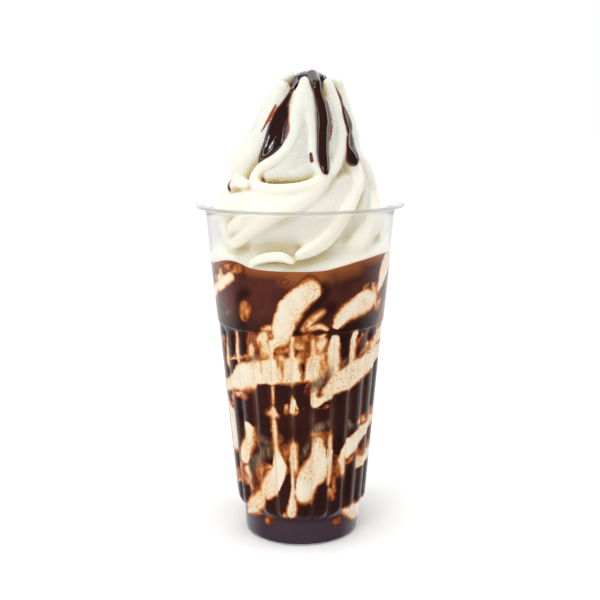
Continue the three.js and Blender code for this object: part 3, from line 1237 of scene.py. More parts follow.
@dataclass
class Cup:
    """The clear cup: one turned wall with flutes, a foot, a shoulder ring and a flat rim.

    The three spacings are those of the rings along the flute ends, the shoulder and the rest.
    """

    shape: CupShape
    rim_thickness: float = 1.2
    rim_neck_radius: float = 43.4
    rim_drop: float = 1.2
    foot_ring: float = 11.9
    foot_ring_height: float = 0.18
    steps_a_flute: int = 16
    end_spacing: float = 0.5
    shoulder_spacing: float = 0.35
    ring_spacing: float = 2.2
    least_spacing: float = 0.2

    def heights(self, low: float, high: float) -> np.ndarray:
        """Heights of the wall's rings, closer at the flute ends, the foot ring and the shoulder.

        Args:
            low: Height of the first ring.
            high: Height of the last ring.

        Returns:
            The heights, rising.
        """
        shape = self.shape
        below, above = shape.shoulder_height - 4.5, shape.shoulder_height + 1.2
        fine = [
            np.arange(shape.foot_height, shape.bowl_height, self.end_spacing),
            np.arange(below, above, self.shoulder_spacing),
            np.arange(low, high, self.ring_spacing),
        ]
        every = np.unique(np.round(np.concatenate(fine + [[low, high]]), 2))
        every = every[(every >= low) & (every <= high)]
        kept = [every[0]]
        for height in every[1:]:
            if height - kept[-1] > self.least_spacing:
                kept.append(height)
        kept[-1] = high
        return np.array(kept)

    def profile(self) -> np.ndarray:
        """Outline of the wall's section, from the middle of the foot round to the floor inside.

        Returns:
            Rows of radius and height.
        """
        shape = self.shape
        outer_heights = self.heights(0.4, shape.neck_height)
        ring = np.exp(-(((outer_heights - self.foot_ring) / 0.35) ** 2)) * self.foot_ring_height
        outer = np.stack([shape.radius(outer_heights) + ring, outer_heights], 1)
        inner_heights = self.heights(shape.floor + 0.8, shape.neck_height)[::-1]
        inner = np.stack([shape.inner(inner_heights), inner_heights], 1)
        top, under = shape.rim_height, shape.rim_height - self.rim_thickness
        edge = shape.rim_radius - self.rim_thickness / 2
        angles = np.linspace(-math.pi / 2, math.pi / 2, 7)
        across = edge + self.rim_thickness / 2 * np.cos(angles)
        lip = np.stack([across, (top + under) / 2 + self.rim_thickness / 2 * np.sin(angles)], 1)
        neck, foot, floor = self.rim_neck_radius, shape.foot_radius, shape.floor
        sections = [
            [(6.0, 0.0), (18.0, 0.0), (foot - 0.5, 0.0)],
            outer,
            [(neck, under - self.rim_drop), (neck + 0.3, under - 0.4), (neck + 0.9, under)],
            lip,
            [(neck + 0.9, top - 0.15), (neck + 0.2, top - 0.3), (neck - 0.5, top - 1.0)],
            inner,
            [(foot - 1.6, floor), (18.0, floor), (6.0, floor)],
        ]
        return np.vstack(sections)

    def build(self, material: bpy.types.Material, fluting: GeometryTree) -> bpy.types.Object:
        """Builds the cup.

        Args:
            material: Its clear plastic.
            fluting: The tree that presses the flutes.

        Returns:
            The cup's object.
        """
        profile = self.profile()
        bearings = self.shape.bearings(self.steps_a_flute)
        segments = len(bearings)
        rings = [point_at(bearings, radius, np.full(segments, z)) for radius, z in profile]
        poles = [[0, 0, 0], [0, 0, self.shape.floor]]
        vertices = np.vstack(rings + [np.array(poles, float)])
        made = mesh_object("cup_wall", vertices, turned_faces(len(profile), segments))
        return fluting.run(made, material)


# ---- marbled filling


@dataclass(frozen=True)
class Streak:
    """One streak of the marbling: a tapered stroke along the wall.

    Attributes:
        mark: What it is.
        stops: Bearing, height and half width at each of its points.
    """

    mark: Mark
    stops: Stops


def cream(*stops: tuple[float, float, float]) -> Streak:
    """A streak of bare ice cream."""
    return Streak(Mark.CREAM, stops)


def caramel(*stops: tuple[float, float, float]) -> Streak:
    """A streak of thin orange-brown sauce."""
    return Streak(Mark.CARAMEL, stops)


def smear_and_reflection(*stops: tuple[float, float, float]) -> Streak:
    """A grey-brown smear, partly of sauce and partly a painted reflection on the plastic."""
    return Streak(Mark.SMEAR_AND_REFLECTION, stops)


def glow(*stops: tuple[float, float, float]) -> Streak:
    """A soft golden-brown place, where the sauce lets light through."""
    return Streak(Mark.GLOW, stops)


def sauce(*stops: tuple[float, float, float]) -> Streak:
    """A streak of sauce that lies over the cream."""
    return Streak(Mark.SAUCE, stops)


UPPER_STREAKS = [
    cream((-80, 114.5, 2.0), (-70, 118, 2.4), (-60, 121.3, 2.5), (-49, 125.2, 1.8)),
    caramel((-68, 123, 1.4), (-57, 126.8, 2.0), (-47, 129, 1.8), (-41, 129.6, 1.2)),
    cream(
        (-20, 96.6, 2.2), (-13, 99, 2.8), (-12.5, 103, 4.0), (-9.5, 108, 4.4), (-5, 114, 4.9),
        (1, 118.6, 4.7), (5.5, 121, 4.5),
    ),
    cream((24, 105.2, 1.4), (30, 109.5, 3.4), (38, 112.5, 4.3), (46, 114.2, 5.0), (52, 115, 3.8)),
    caramel((45, 120, 1.2), (52, 119, 2.6), (57, 115.5, 3.0), (61, 112, 2.6)),
    caramel((22.5, 103.5, 1.8), (27, 107.5, 3.0)),
    cream((59.5, 118, 1.4), (63, 122.5, 3.0), (68, 127.5, 4.6), (76, 134, 6.0)),
    caramel((-39.5, 108, 1.4), (-37.5, 112.5, 2.0)),
    caramel((-25, 103.8, 0.8), (-20.5, 104.2, 1.1)),
    caramel((2, 104, 0.9), (7, 108, 1.2), (14, 111.5, 0.6)),
    caramel((6, 104.2, 0.9), (12, 105, 1.0), (17, 103.6, 0.7)),
    caramel((-10.5, 125, 0.5), (-9.5, 125, 0.5)),
    glow((-6, 128, 2.4), (3, 128.4, 4.0), (13, 128, 2.0)),
    glow((-62, 128, 1.5), (-50, 130, 1.5)),
    glow((24, 129, 0.5), (36, 130.5, 1.0)),
    glow((66, 104, 0.5), (74, 107, 0.5)),
    sauce((14.6, 123, 0.8), (14, 118, 1.4), (7, 112.5, 1.2), (0, 106.5, 0.8), (-3, 103.5, 0.4)),
    sauce((12, 108.5, 1.4), (19, 113, 2.0)),
    sauce((25, 101.6, 0.3), (34, 103.4, 1.2), (46, 104, 1.4), (60, 106, 1.2)),
    sauce((-43, 104, 1.2), (-42, 116, 1.4), (-36, 119, 1.0)),
    # Painted reflection of the lights on the plastic, high on the left.
    smear_and_reflection((-66, 106.5, 0.6), (-58, 108.5, 1.2), (-53, 109, 0.6)),
]

BAND_STREAKS = [
    cream(
        (-80, 70.5, 3.0), (-66, 74, 3.0), (-56, 76.5, 4.6), (-45, 80, 6.6), (-34, 82.5, 5.6),
        (-19, 84.5, 5.8), (-5, 85.5, 6.0), (10, 86.5, 5.8), (13, 87.5, 4.4),
    ),
    sauce((-29, 91, 0.8), (-28.5, 83, 0.2)),
    sauce((-14.5, 92, 1.5), (-14, 80, 0.7)),
    sauce((1, 92, 1.4), (1.3, 81, 0.5)),
    sauce((15.8, 92, 1.6), (15.2, 83, 0.7)),
    caramel((-29, 91, 1.4), (-28.5, 82, 0.9)),
    caramel((-14.5, 90, 2.4), (-14, 81, 1.6)),
    caramel((1, 91, 2.4), (1.3, 83, 1.4)),
    caramel((15.8, 91, 2.4), (15.2, 83, 1.4)),
    cream((9.5, 75.5, 1.6), (10, 70, 2.2), (15, 71.5, 2.2), (20, 73.5, 2.4)),
    sauce((13.5, 79, 1.2), (11.5, 73.5, 0.4)),
    cream(
        (19, 75.5, 3.0), (29, 79, 5.4), (42, 82, 6.0), (56, 84.5, 5.2), (68, 87, 4.4),
        (84, 90, 3.6),
    ),
    caramel((-72, 65, 1.0), (-58, 70, 1.2), (-46, 70.5, 1.0)),
    cream((23.5, 86, 3.2), (23.3, 92, 3.9), (22.8, 98, 2.2)),
    sauce((29.5, 99, 1.8), (30.8, 90.5, 1.6), (28, 86.6, 0.6)),
    cream((38, 88, 1.6), (38.5, 94, 2.0), (39.5, 99.5, 1.5)),
    cream((-50.8, 87, 1.2), (-50, 94, 1.5), (-48.5, 100, 1.0)),
    cream((-66.5, 84, 2.4), (-65, 90, 2.0), (-63, 96, 0.8)),
    cream((-37.2, 91.5, 1.4), (-36, 93.6, 1.9)),
    caramel((-36.5, 96, 1.4), (-34.5, 100, 1.2)),
    cream((-20.8, 88, 1.0), (-20.5, 97, 1.5)),
    cream((8, 88, 1.8), (8.4, 99, 0.9)),
    cream((-6.5, 89, 1.5), (-5.5, 99.5, 0.8)),
    caramel((-31, 91, 3.4), (-27, 95, 4.2), (-24, 99, 3.4)),
    caramel((-16, 93.8, 0.7), (-9, 94.6, 0.7)),
    caramel((-7, 99.5, 1.4), (0, 97.5, 2.8), (5, 99, 2.4)),
    caramel((-5, 88.5, 2.4), (4, 90, 2.6)),
    caramel((-18, 89.5, 1.0), (-12, 90, 1.2)),
    caramel((10.5, 92, 1.4), (12.5, 97, 2.8), (15.5, 100, 1.6)),
    caramel((43, 92, 2.8), (48, 94.5, 2.8), (44, 98.5, 1.4)),
    caramel((52, 95.5, 2.6), (60, 93, 4.4), (66, 90, 3.0)),
    cream((67, 93, 2.2), (74, 96, 3.4), (84, 98, 3.0)),
    caramel((-64, 86.5, 1.4), (-53, 88.8, 1.7), (-47, 88, 1.4)),
    caramel((-76, 97, 2.0), (-68, 92.5, 1.6)),
    caramel((-42, 88.6, 1.6), (-34, 90, 1.2)),
    smear_and_reflection((8, 76.5, 1.4), (14, 79.5, 2.4), (20, 84.5, 1.8)),
    smear_and_reflection((29, 86.5, 0.8), (34, 88.5, 1.4)),
    smear_and_reflection((-42, 87.2, 0.6), (-33, 90, 0.8)),
    cream((-21.2, 63.4, 0.8), (-20.8, 66.5, 1.2)),
    caramel((-25, 64.6, 0.6), (-21, 64.8, 1.6), (-17.5, 64, 0.5)),
    caramel((-21, 70, 0.5), (-20.8, 77, 0.7)),
    cream((-6.6, 66.6, 1.4), (-5.6, 70.6, 1.2)),
    caramel((-6, 72, 0.8), (-5.2, 67, 2.2)),
    caramel((-11.2, 66, 0.7), (-11, 69, 0.8)),
    caramel((3, 67, 1.0), (4.8, 74, 1.6), (6, 78, 1.2)),
    caramel((13, 68, 0.7), (19, 68.2, 0.8)),
]

LOWER_STREAKS = [
    cream((-44.8, 55.8, 3.0), (-45.5, 50, 3.6), (-52, 44, 4.4), (-56, 39.5, 3.0)),
    sauce((-53, 61, 1.8), (-51.4, 56, 0.8)),
    cream((-76, 62, 3.4), (-72, 53, 5.6), (-73, 44, 4.0)),
    caramel((-78, 61, 4.0), (-70, 64, 1.4)),
    cream(
        (-20.8, 61, 0.9), (-20.2, 52, 1.3), (-19, 44, 2.8), (-17.5, 38, 3.8), (-24, 32, 5.2),
        (-30, 27, 4.6),
    ),
    caramel((-22.5, 57, 0.8), (-18, 53, 1.3)),
    caramel((-12.5, 47, 2.6), (-11, 41, 1.8), (-10, 36, 0.9)),
    cream((-6.2, 49.5, 1.9), (-6.4, 40, 1.7), (-7.6, 28, 1.5), (-9.5, 18, 2.8), (-11, 16.6, 2.2)),
    caramel((-14, 16, 1.4), (-15.5, 15.5, 0.9)),
    cream((13, 51.5, 2.6), (13.5, 43, 4.8), (7, 35.5, 6.0), (1.5, 27, 5.0)),
    cream((16, 47, 2.6), (15.5, 36, 3.6), (12, 32.5, 2.0)),
    caramel((9, 55, 0.6), (15, 54.8, 1.0), (21, 53.6, 1.4)),
    cream((22.8, 53, 1.2), (23.6, 43, 1.8), (23, 31, 0.9)),
    caramel((26.5, 47, 0.9), (28.2, 40, 2.0), (30, 36, 1.6)),
    caramel((20.6, 48, 0.5), (21, 34, 0.5)),
    cream((37, 47.5, 1.2), (33.5, 42.5, 2.8), (35.2, 35.5, 1.8)),
    cream((40.5, 44, 3.0), (46, 47.5, 4.8), (56, 52, 3.6), (74, 55.5, 3.0)),
    caramel((40, 39.6, 0.9), (51, 41.6, 0.9)),
    caramel((50, 57.5, 1.0), (58, 58, 1.6), (72, 60, 1.4)),
    cream((55, 37.6, 3.0), (66, 37.6, 3.0), (82, 40.5, 3.0)),
    caramel((54, 42, 1.4), (66, 43.4, 1.6), (76, 43, 1.4)),
    cream((-38, 22.5, 3.6), (-46, 18, 4.2), (-58, 13.2, 2.6), (-68, 10.4, 1.4)),
    caramel((-47, 27.4, 1.8), (-39, 27.5, 1.0)),
    cream((43, 15.2, 1.4), (54, 13.2, 3.6), (66, 12, 5.0), (80, 12, 5.2)),
    cream((-53.5, 34, 2.2), (-50.5, 31, 1.4)),
    caramel((-76, 27, 3.0), (-66, 29.5, 2.6), (-56, 34.5, 3.0), (-50, 32, 2.2)),
    caramel((-60, 29, 2.6), (-53, 28.5, 1.4)),
    caramel((-46, 30, 2.0), (-40, 34, 2.2), (-33, 38.6, 1.2), (-26, 39, 0.9)),
    caramel((27, 34, 0.2), (28, 27, 0.5)),
    sauce((-5.4, 38, 0.25), (-5.2, 24, 0.25)),
    sauce((44, 34, 2.0), (44, 24, 1.4)),
    sauce((31, 50, 2.4), (30, 43, 0.6)),
    caramel((24.6, 27, 0.9), (26, 23.6, 0.9)),
    caramel((-36.5, 10.2, 0.6), (-31, 11.4, 0.9)),
    caramel((33.5, 9.8, 0.5), (39, 10.2, 0.7)),
    smear_and_reflection((0.6, 44.5, 0.6), (4, 48.5, 1.8), (8, 53, 1.8)),
    smear_and_reflection((-46, 30, 1.4), (-42, 38, 2.0), (-34, 44, 2.6), (-25, 46, 2.4)),
    smear_and_reflection((-31, 52, 1.6), (-24, 50, 1.2)),
    smear_and_reflection((38.5, 59.5, 0.5), (42, 56.5, 0.7)),
    # Painted reflection: a grey patch on the flutes.
    smear_and_reflection((12, 58, 1.4), (19, 60, 1.8)),
]

ZONES = (UPPER_STREAKS, BAND_STREAKS, LOWER_STREAKS)

SAUCE_LINE_STOPS = [
    (-74, 129.5), (-52, 132.2), (-41, 132.0), (-31, 130.0), (-15, 129.3), (12, 129.3), (25, 130.8),
    (40, 132.7), (63, 134.0), (95, 132.0), (135, 130.2), (180, 132.6), (225, 130.4), (260, 131.4),
]


@dataclass
class MarbledFilling:
    """Ice cream in the cup with chocolate sauce smeared round its wall.

    Its streaks draw back from the crowns of the flutes where it is ribbed. A span is the
    heights, or the nearness to a crown, over which a thing comes or goes.
    """

    shape: CupShape
    steps_a_flute: int = 19
    rings: int = 200
    into_wall: float = 0.25
    bottom: float = 0.9
    base_radius: float = 14.0
    top_insets: tuple[float, ...] = (3.0, 12.0)
    top_slope: float = 0.4
    top_sag: float = 6.0
    rib_pull: float = 1.1
    pull_level: float = 0.45
    caramel_pull: float = 0.4
    ribs_start_span: tuple[float, float] = (13.0, 18.0)
    ribs_end_span: tuple[float, float] = (96.0, 101.5)
    valley_span: tuple[float, float] = (0.0, 0.85)
    chart_radius: float = 35.5
    zone_heights: Stops = ((103, 128), (62, 100), (9.5, 60))
    edge_glow: float = 2.2
    edge_fade: float = 1.7
    back_stretch: float = 1.12
    back_width: float = 1.08
    upright: tuple[Mark, ...] = (Mark.GLOW,)

    def hidden_streaks(self) -> list[Streak]:
        """Streaks for the back of the cup: the front's own, turned half round in each zone.

        Returns:
            The streaks, which rise to the right as the front's do.
        """
        found = []
        for zone, (low, high) in zip(ZONES, self.zone_heights):
            for streak in zone:
                turn = low + high if streak.mark not in self.upright else 0
                stops = []
                for bearing, height, width in streak.stops:
                    across = bearing * self.back_stretch
                    if turn:
                        stops.append((180 - across, turn - height, width * self.back_width))
                    else:
                        stops.append((180 + across, height, width))
                found.append(Streak(streak.mark, tuple(stops)))
        return found

    def ribbed(self, height: np.ndarray) -> np.ndarray:
        """How fully the flutes are formed at a height, from 0 past their ends to 1 along them."""
        return smooth(height, *self.ribs_start_span) * (1 - smooth(height, *self.ribs_end_span))

    def marks(self, bearing: np.ndarray, height: np.ndarray) -> dict[Mark, np.ndarray]:
        """How far each place on the wall is inside the streaks of each kind.

        Args:
            bearing: Bearings of the places.
            height: Their heights.

        Returns:
            Distances in millimetres, positive inside a streak.
        """
        marks = {mark: np.full(bearing.shape, OUTSIDE) for mark in Mark}
        across = math.radians(1) * self.chart_radius
        every = [streak for zone in ZONES for streak in zone] + self.hidden_streaks()
        for streak in every:
            line = curve_through(np.array(streak.stops), 6 * len(streak.stops) - 5)
            found = marks[streak.mark]
            for (b0, z0, w0), (b1, z1, w1) in zip(line[:-1], line[1:]):
                x = ((bearing - b0 + 180) % FULL_TURN - 180) * across
                y = height - z0
                dx, dy = (b1 - b0) * across, z1 - z0
                t = np.clip((x * dx + y * dy) / (dx * dx + dy * dy + 1e-9), 0, 1)
                inside = w0 + t * (w1 - w0) - np.hypot(x - t * dx, y - t * dy)
                np.maximum(found, inside, out=found)
        crown = self.shape.crown(bearing) - self.pull_level
        pull = crown * self.rib_pull * self.ribbed(height)
        marks[Mark.CREAM] = np.minimum(marks[Mark.CREAM] - pull, -marks[Mark.SAUCE])
        marks[Mark.CARAMEL] -= pull * self.caramel_pull
        return marks

    def build(self, material: bpy.types.Material, fluting: GeometryTree) -> bpy.types.Object:
        """Builds the filling.

        Args:
            material: Its marbled finish.
            fluting: The tree that presses the flutes.

        Returns:
            The filling's object, with its marks stored on it.
        """
        shape = self.shape
        bearings = shape.bearings(self.steps_a_flute)
        segments = len(bearings)
        line = round_the_clock(bearings, SAUCE_LINE_STOPS)
        bottom = np.full(segments, self.bottom)
        rows = [point_at(bearings, np.full(segments, self.base_radius), bottom)]
        heights = [bottom]
        for share in np.linspace(0, 1, self.rings):
            height = self.bottom + (line - self.bottom) * share
            rows.append(point_at(bearings, shape.inner(height) + self.into_wall, height))
            heights.append(height)
        for inset in self.top_insets:
            height = line - inset * self.top_slope
            rows.append(point_at(bearings, shape.inner(height) - inset, height))
            heights.append(height)
        poles = np.array([[0, 0, self.bottom], [0, 0, line.mean() - self.top_sag]])
        faces = turned_faces(len(rows), segments)
        made = mesh_object("marbled_fill", np.vstack(rows + [poles]), faces)
        around = np.tile(bearings, len(rows))
        tall = np.concatenate(heights)
        marks = self.marks(around, tall)
        edge = self.edge_glow - (np.tile(line, len(rows)) - tall) * self.edge_fade
        marks[Mark.GLOW] = np.maximum(marks[Mark.GLOW], edge)
        for mark, values in marks.items():
            store(made, mark, np.append(values, [OUTSIDE] * len(poles)))
        valley = (1 - smooth(shape.crown(around), *self.valley_span)) * self.ribbed(tall)
        store(made, Trait.VALLEY, np.append(valley, [0.0] * len(poles)))
        return fluting.run(made, material)


# ---- swirl


@dataclass(frozen=True)
class Ridge:
    """A piped ridge, or the web of ice cream between two of them.

    Attributes:
        stops: Bearing, height, half width and rise over the swirl's cone at each of its points.
        softness: How wide its seams to the rest are filled.
    """

    stops: Stops
    softness: float


@dataclass(frozen=True)
class HiddenRule:
    """How ridges of the hidden back are drawn from their two ends.

    Attributes:
        points: How many stops each has.
        turn_power: Over 1, it turns late on its way down.
        fall_power: Over 1, it falls late on its way round.
        rise: Its rise over the swirl's cone.
        softness: How wide its seams to the rest are filled.
    """

    points: int
    turn_power: float
    fall_power: float
    rise: float
    softness: float

    def ridge(
        self, start: float, turn: float, top: float, foot: float, thin: float, thick: float
    ) -> Ridge:
        """Draws one ridge.

        Args:
            start: Bearing of its top.
            turn: How many degrees it turns to its foot.
            top: Height of its top.
            foot: Height of its foot.
            thin: Half width at its top.
            thick: Half width at its foot.

        Returns:
            The ridge.
        """
        share = np.linspace(0, 1, self.points)
        bearing = start + turn * share**self.turn_power
        height = top + (foot - top) * share**self.fall_power
        width = thin + (thick - thin) * share
        rise = np.full(self.points, self.rise)
        return Ridge(tuple(zip(bearing, height, width, rise)), self.softness)


WEBS = [
    Ridge((
        (-2, 189.5, 4.4, -1.3), (-2.5, 184, 5.2, -0.9), (-4, 178, 5.4, -0.6),
        (-10, 172.4, 5.0, -0.3), (-18, 169.4, 4.0, -0.2), (-27, 168.2, 3.0, -0.1),
    ), 1.4),
    Ridge(((0, 185, 4.6, -0.9), (1, 177.5, 5.2, -0.9), (3, 171.5, 4.4, -0.8)), 1.6),
    Ridge(((-14, 168.6, 3.2, -0.3), (-2, 169.0, 3.6, -0.3), (9, 170.4, 3.2, -0.5)), 1.2),
    Ridge(((31, 198, 3.0, -0.9), (33, 189, 4.4, -0.5), (30, 178, 3.8, -0.6)), 1.6),
    Ridge((
        (32, 163, 5.0, -1.4), (26, 158, 7.0, -1.1), (17, 152.6, 8.0, -1.2), (6, 147.4, 8.0, -1.5),
        (-5, 145, 6.5, -1.8), (-18, 144.5, 4.5, -2.0), (-30, 142, 3.5, -2.2),
    ), 2.4),
    Ridge((
        (42, 164, 5.0, -0.9), (34, 159, 6.5, -0.4), (27, 154, 6.5, -0.3), (18, 147, 6.0, -0.2),
        (8, 142, 5.0, -0.4),
    ), 2.0),
    Ridge((
        (64, 171, 3.6, -1.4), (72, 164, 5.0, -1.5), (66, 157, 5.0, -1.5), (54, 151, 4.0, -1.8),
    ), 2.0),
]

RIDGES = [
    Ridge((
        (-60, 205.0, 4.2, 0.6), (-58, 198, 5.2, 0.7), (-56, 191, 5.8, 0.7), (-55, 184, 6.8, 0.9),
        (-59, 177, 8.0, 3.0), (-63, 172, 8.0, 3.8), (-60, 168.5, 5.4, 2.2),
    ), 2.2),
    Ridge((
        (-6, 208.4, 2.3, 0.4), (-5.4, 205, 3.2, 0.6), (-5, 201, 5.0, 1.0), (-4, 196.5, 6.0, 1.1),
    ), 1.6),
    Ridge((
        (-9, 195.5, 4.4, 0.9), (-10.5, 190, 3.8, 0.8), (-10.3, 184.4, 3.3, 0.8),
        (-14.6, 178.6, 3.2, 0.8), (-25, 174.4, 3.0, 0.8), (-35, 171.5, 2.9, 0.9),
        (-39.5, 167.8, 2.7, 1.3), (-36, 164.4, 2.8, 1.9), (-28, 162.9, 2.9, 2.1),
        (-15, 162.6, 2.9, 2.1), (-2, 163.4, 2.8, 1.8), (8, 165, 2.4, 1.0), (14, 167, 2.0, 0.4),
    ), 0.8),
    Ridge((
        (3, 196, 3.0, 0.9), (6.2, 190, 2.3, 0.8), (8.6, 183.5, 2.2, 0.9), (10, 177.3, 2.3, 1.0),
        (12, 172, 2.5, 1.1), (16, 169.0, 2.6, 1.2),
    ), 0.8),
    Ridge((
        (19, 206, 2.0, -1.6), (21, 198, 2.4, -1.0), (21, 189, 2.8, -0.5), (20.5, 181, 2.9, -0.2),
        (20.2, 174, 3.0, 0.3), (17.5, 169.6, 2.6, 0.8),
    ), 1.2),
    Ridge((
        (52, 204, 2.0, -0.8), (55, 196, 3.0, -0.3), (57, 190, 3.3, -0.2), (54, 184, 3.3, -0.2),
        (52, 177, 3.0, -0.3),
    ), 1.2),
    Ridge((
        (40, 207.6, 2.4, 0.5), (42, 204, 2.8, 0.6), (45, 198.3, 3.2, 0.7), (45, 190, 3.5, 0.8),
        (43, 182.5, 3.5, 0.8), (35, 175, 3.2, 0.7), (27, 170, 2.6, 0.3),
    ), 0.9),
    Ridge((
        (84, 207.6, 2.6, 0.4), (83, 202, 3.6, 0.2), (77, 194, 4.4, 0.3), (74, 185.4, 4.8, 0.4),
        (69, 179, 4.4, 0.3), (58, 175, 3.4, 0.1),
    ), 1.8),
    Ridge((
        (6, 159.5, 2.6, -1.6), (-5, 158.6, 3.8, -0.8), (-14, 157.4, 4.8, 0.2),
        (-28, 156.4, 6.0, 0.7), (-44, 156, 6.4, 1.0), (-58, 154.5, 6.2, 0.6), (-78, 151, 5.6, 0.2),
        (-100, 149, 5.4, 0.0), (-125, 148, 5.4, 0.0),
    ), 1.8),
    Ridge((
        (2, 158.5, 3.0, 0.2), (-10, 156.6, 4.0, 0.8), (-24, 153.2, 4.4, 0.9),
        (-36, 149.6, 4.2, 0.8), (-48, 146, 3.6, 0.4),
    ), 1.8),
    Ridge(((-66, 146.5, 4.0, -1.6), (-59, 142, 4.0, -1.2), (-50, 139.5, 3.4, -0.4)), 1.6),
    Ridge((
        (23, 169.5, 2.6, 0.6), (18.5, 166.8, 3.4, 1.1), (11.6, 162.8, 3.7, 1.1),
        (4, 158.8, 3.7, 1.0), (-9.4, 154, 3.6, 0.9), (-19.4, 150.6, 3.5, 0.9),
        (-29.7, 146.2, 3.3, 0.9), (-39, 142, 2.9, 0.9), (-46, 139.2, 2.5, 0.8),
    ), 1.6),
    Ridge((
        (48, 177.6, 3.0, 0.4), (55, 173, 4.0, 0.8), (55, 166.8, 4.6, 1.0), (46, 161, 4.8, 1.1),
        (39.4, 156.3, 4.8, 1.3), (31.7, 150.7, 4.6, 1.6), (24.2, 145.7, 4.4, 2.0),
        (16.2, 141, 3.8, 2.2), (8.6, 138.3, 3.2, 2.0), (1, 136, 2.2, 1.6),
    ), 1.0),
    Ridge((
        (72, 175, 3.6, 0.3), (84, 170, 4.6, 1.0), (92, 162, 5.4, 1.2), (90, 154, 5.6, 1.2),
        (80, 148, 5.4, 1.2), (70, 144, 4.0, 0.6),
    ), 1.6),
    Ridge(((78, 152.5, 2.6, 1.2), (80, 146, 2.8, 1.6), (77, 140, 2.2, 1.2)), 0.8),
    Ridge(((94, 151, 3.0, 1.4), (94, 144, 3.4, 1.8), (90, 138, 3.0, 1.6)), 1.0),
    Ridge((
        (-31, 131.8, 1.6, 1.2), (-25, 133.8, 2.0, 1.4), (-18, 135, 2.2, 1.4),
        (-10, 135.2, 2.2, 1.4), (-4, 133.6, 1.6, 1.2),
    ), 0.7),
    Ridge(((-64, 163.8, 2.6, 1.8), (-55, 165.2, 3.0, 2.4), (-46, 164.4, 2.4, 1.8)), 1.0),
    Ridge((
        (-112, 210.8, 2.6, -1.5), (-105, 206, 3.4, -0.5), (-100, 200, 4.4, 0.2),
        (-96, 190, 5.4, 0.4), (-102, 176, 6.8, 0.4), (-108, 167, 7.0, 0.3),
    ), 2.0),
]

CONTACT_STOPS = [
    (-75, 136), (-60, 137), (-48, 135.5), (-35, 131.5), (-5, 130), (8, 130.5), (22, 132),
    (40, 134), (60, 136), (76, 139), (92, 141), (125, 141), (180, 140), (225, 139), (262, 136),
]


# The back is hidden: four ridges fall from its crown, and five coils wind on under them.
FALLING = HiddenRule(points=5, turn_power=2, fall_power=1, rise=0.4, softness=2.0)
COILED = HiddenRule(points=7, turn_power=1, fall_power=1.15, rise=0.3, softness=1.6)

HIDDEN = [
    FALLING.ridge(114, -10, 208.0, 168, 3.0, 6.0),
    FALLING.ridge(154, -16, 208.1, 166, 3.4, 7.2),
    FALLING.ridge(198, -14, 208.3, 168, 3.2, 7.0),
    FALLING.ridge(228, -10, 208.0, 167, 3.0, 6.8),
    COILED.ridge(138, -92, 172, 137, 6.4, 7.4),
    COILED.ridge(182, -90, 170, 135, 6.8, 7.6),
    COILED.ridge(226, -94, 171, 138, 6.4, 7.8),
    COILED.ridge(268, -88, 168, 134, 6.2, 7.4),
    COILED.ridge(292, -78, 160, 138, 5.0, 6.4),
]


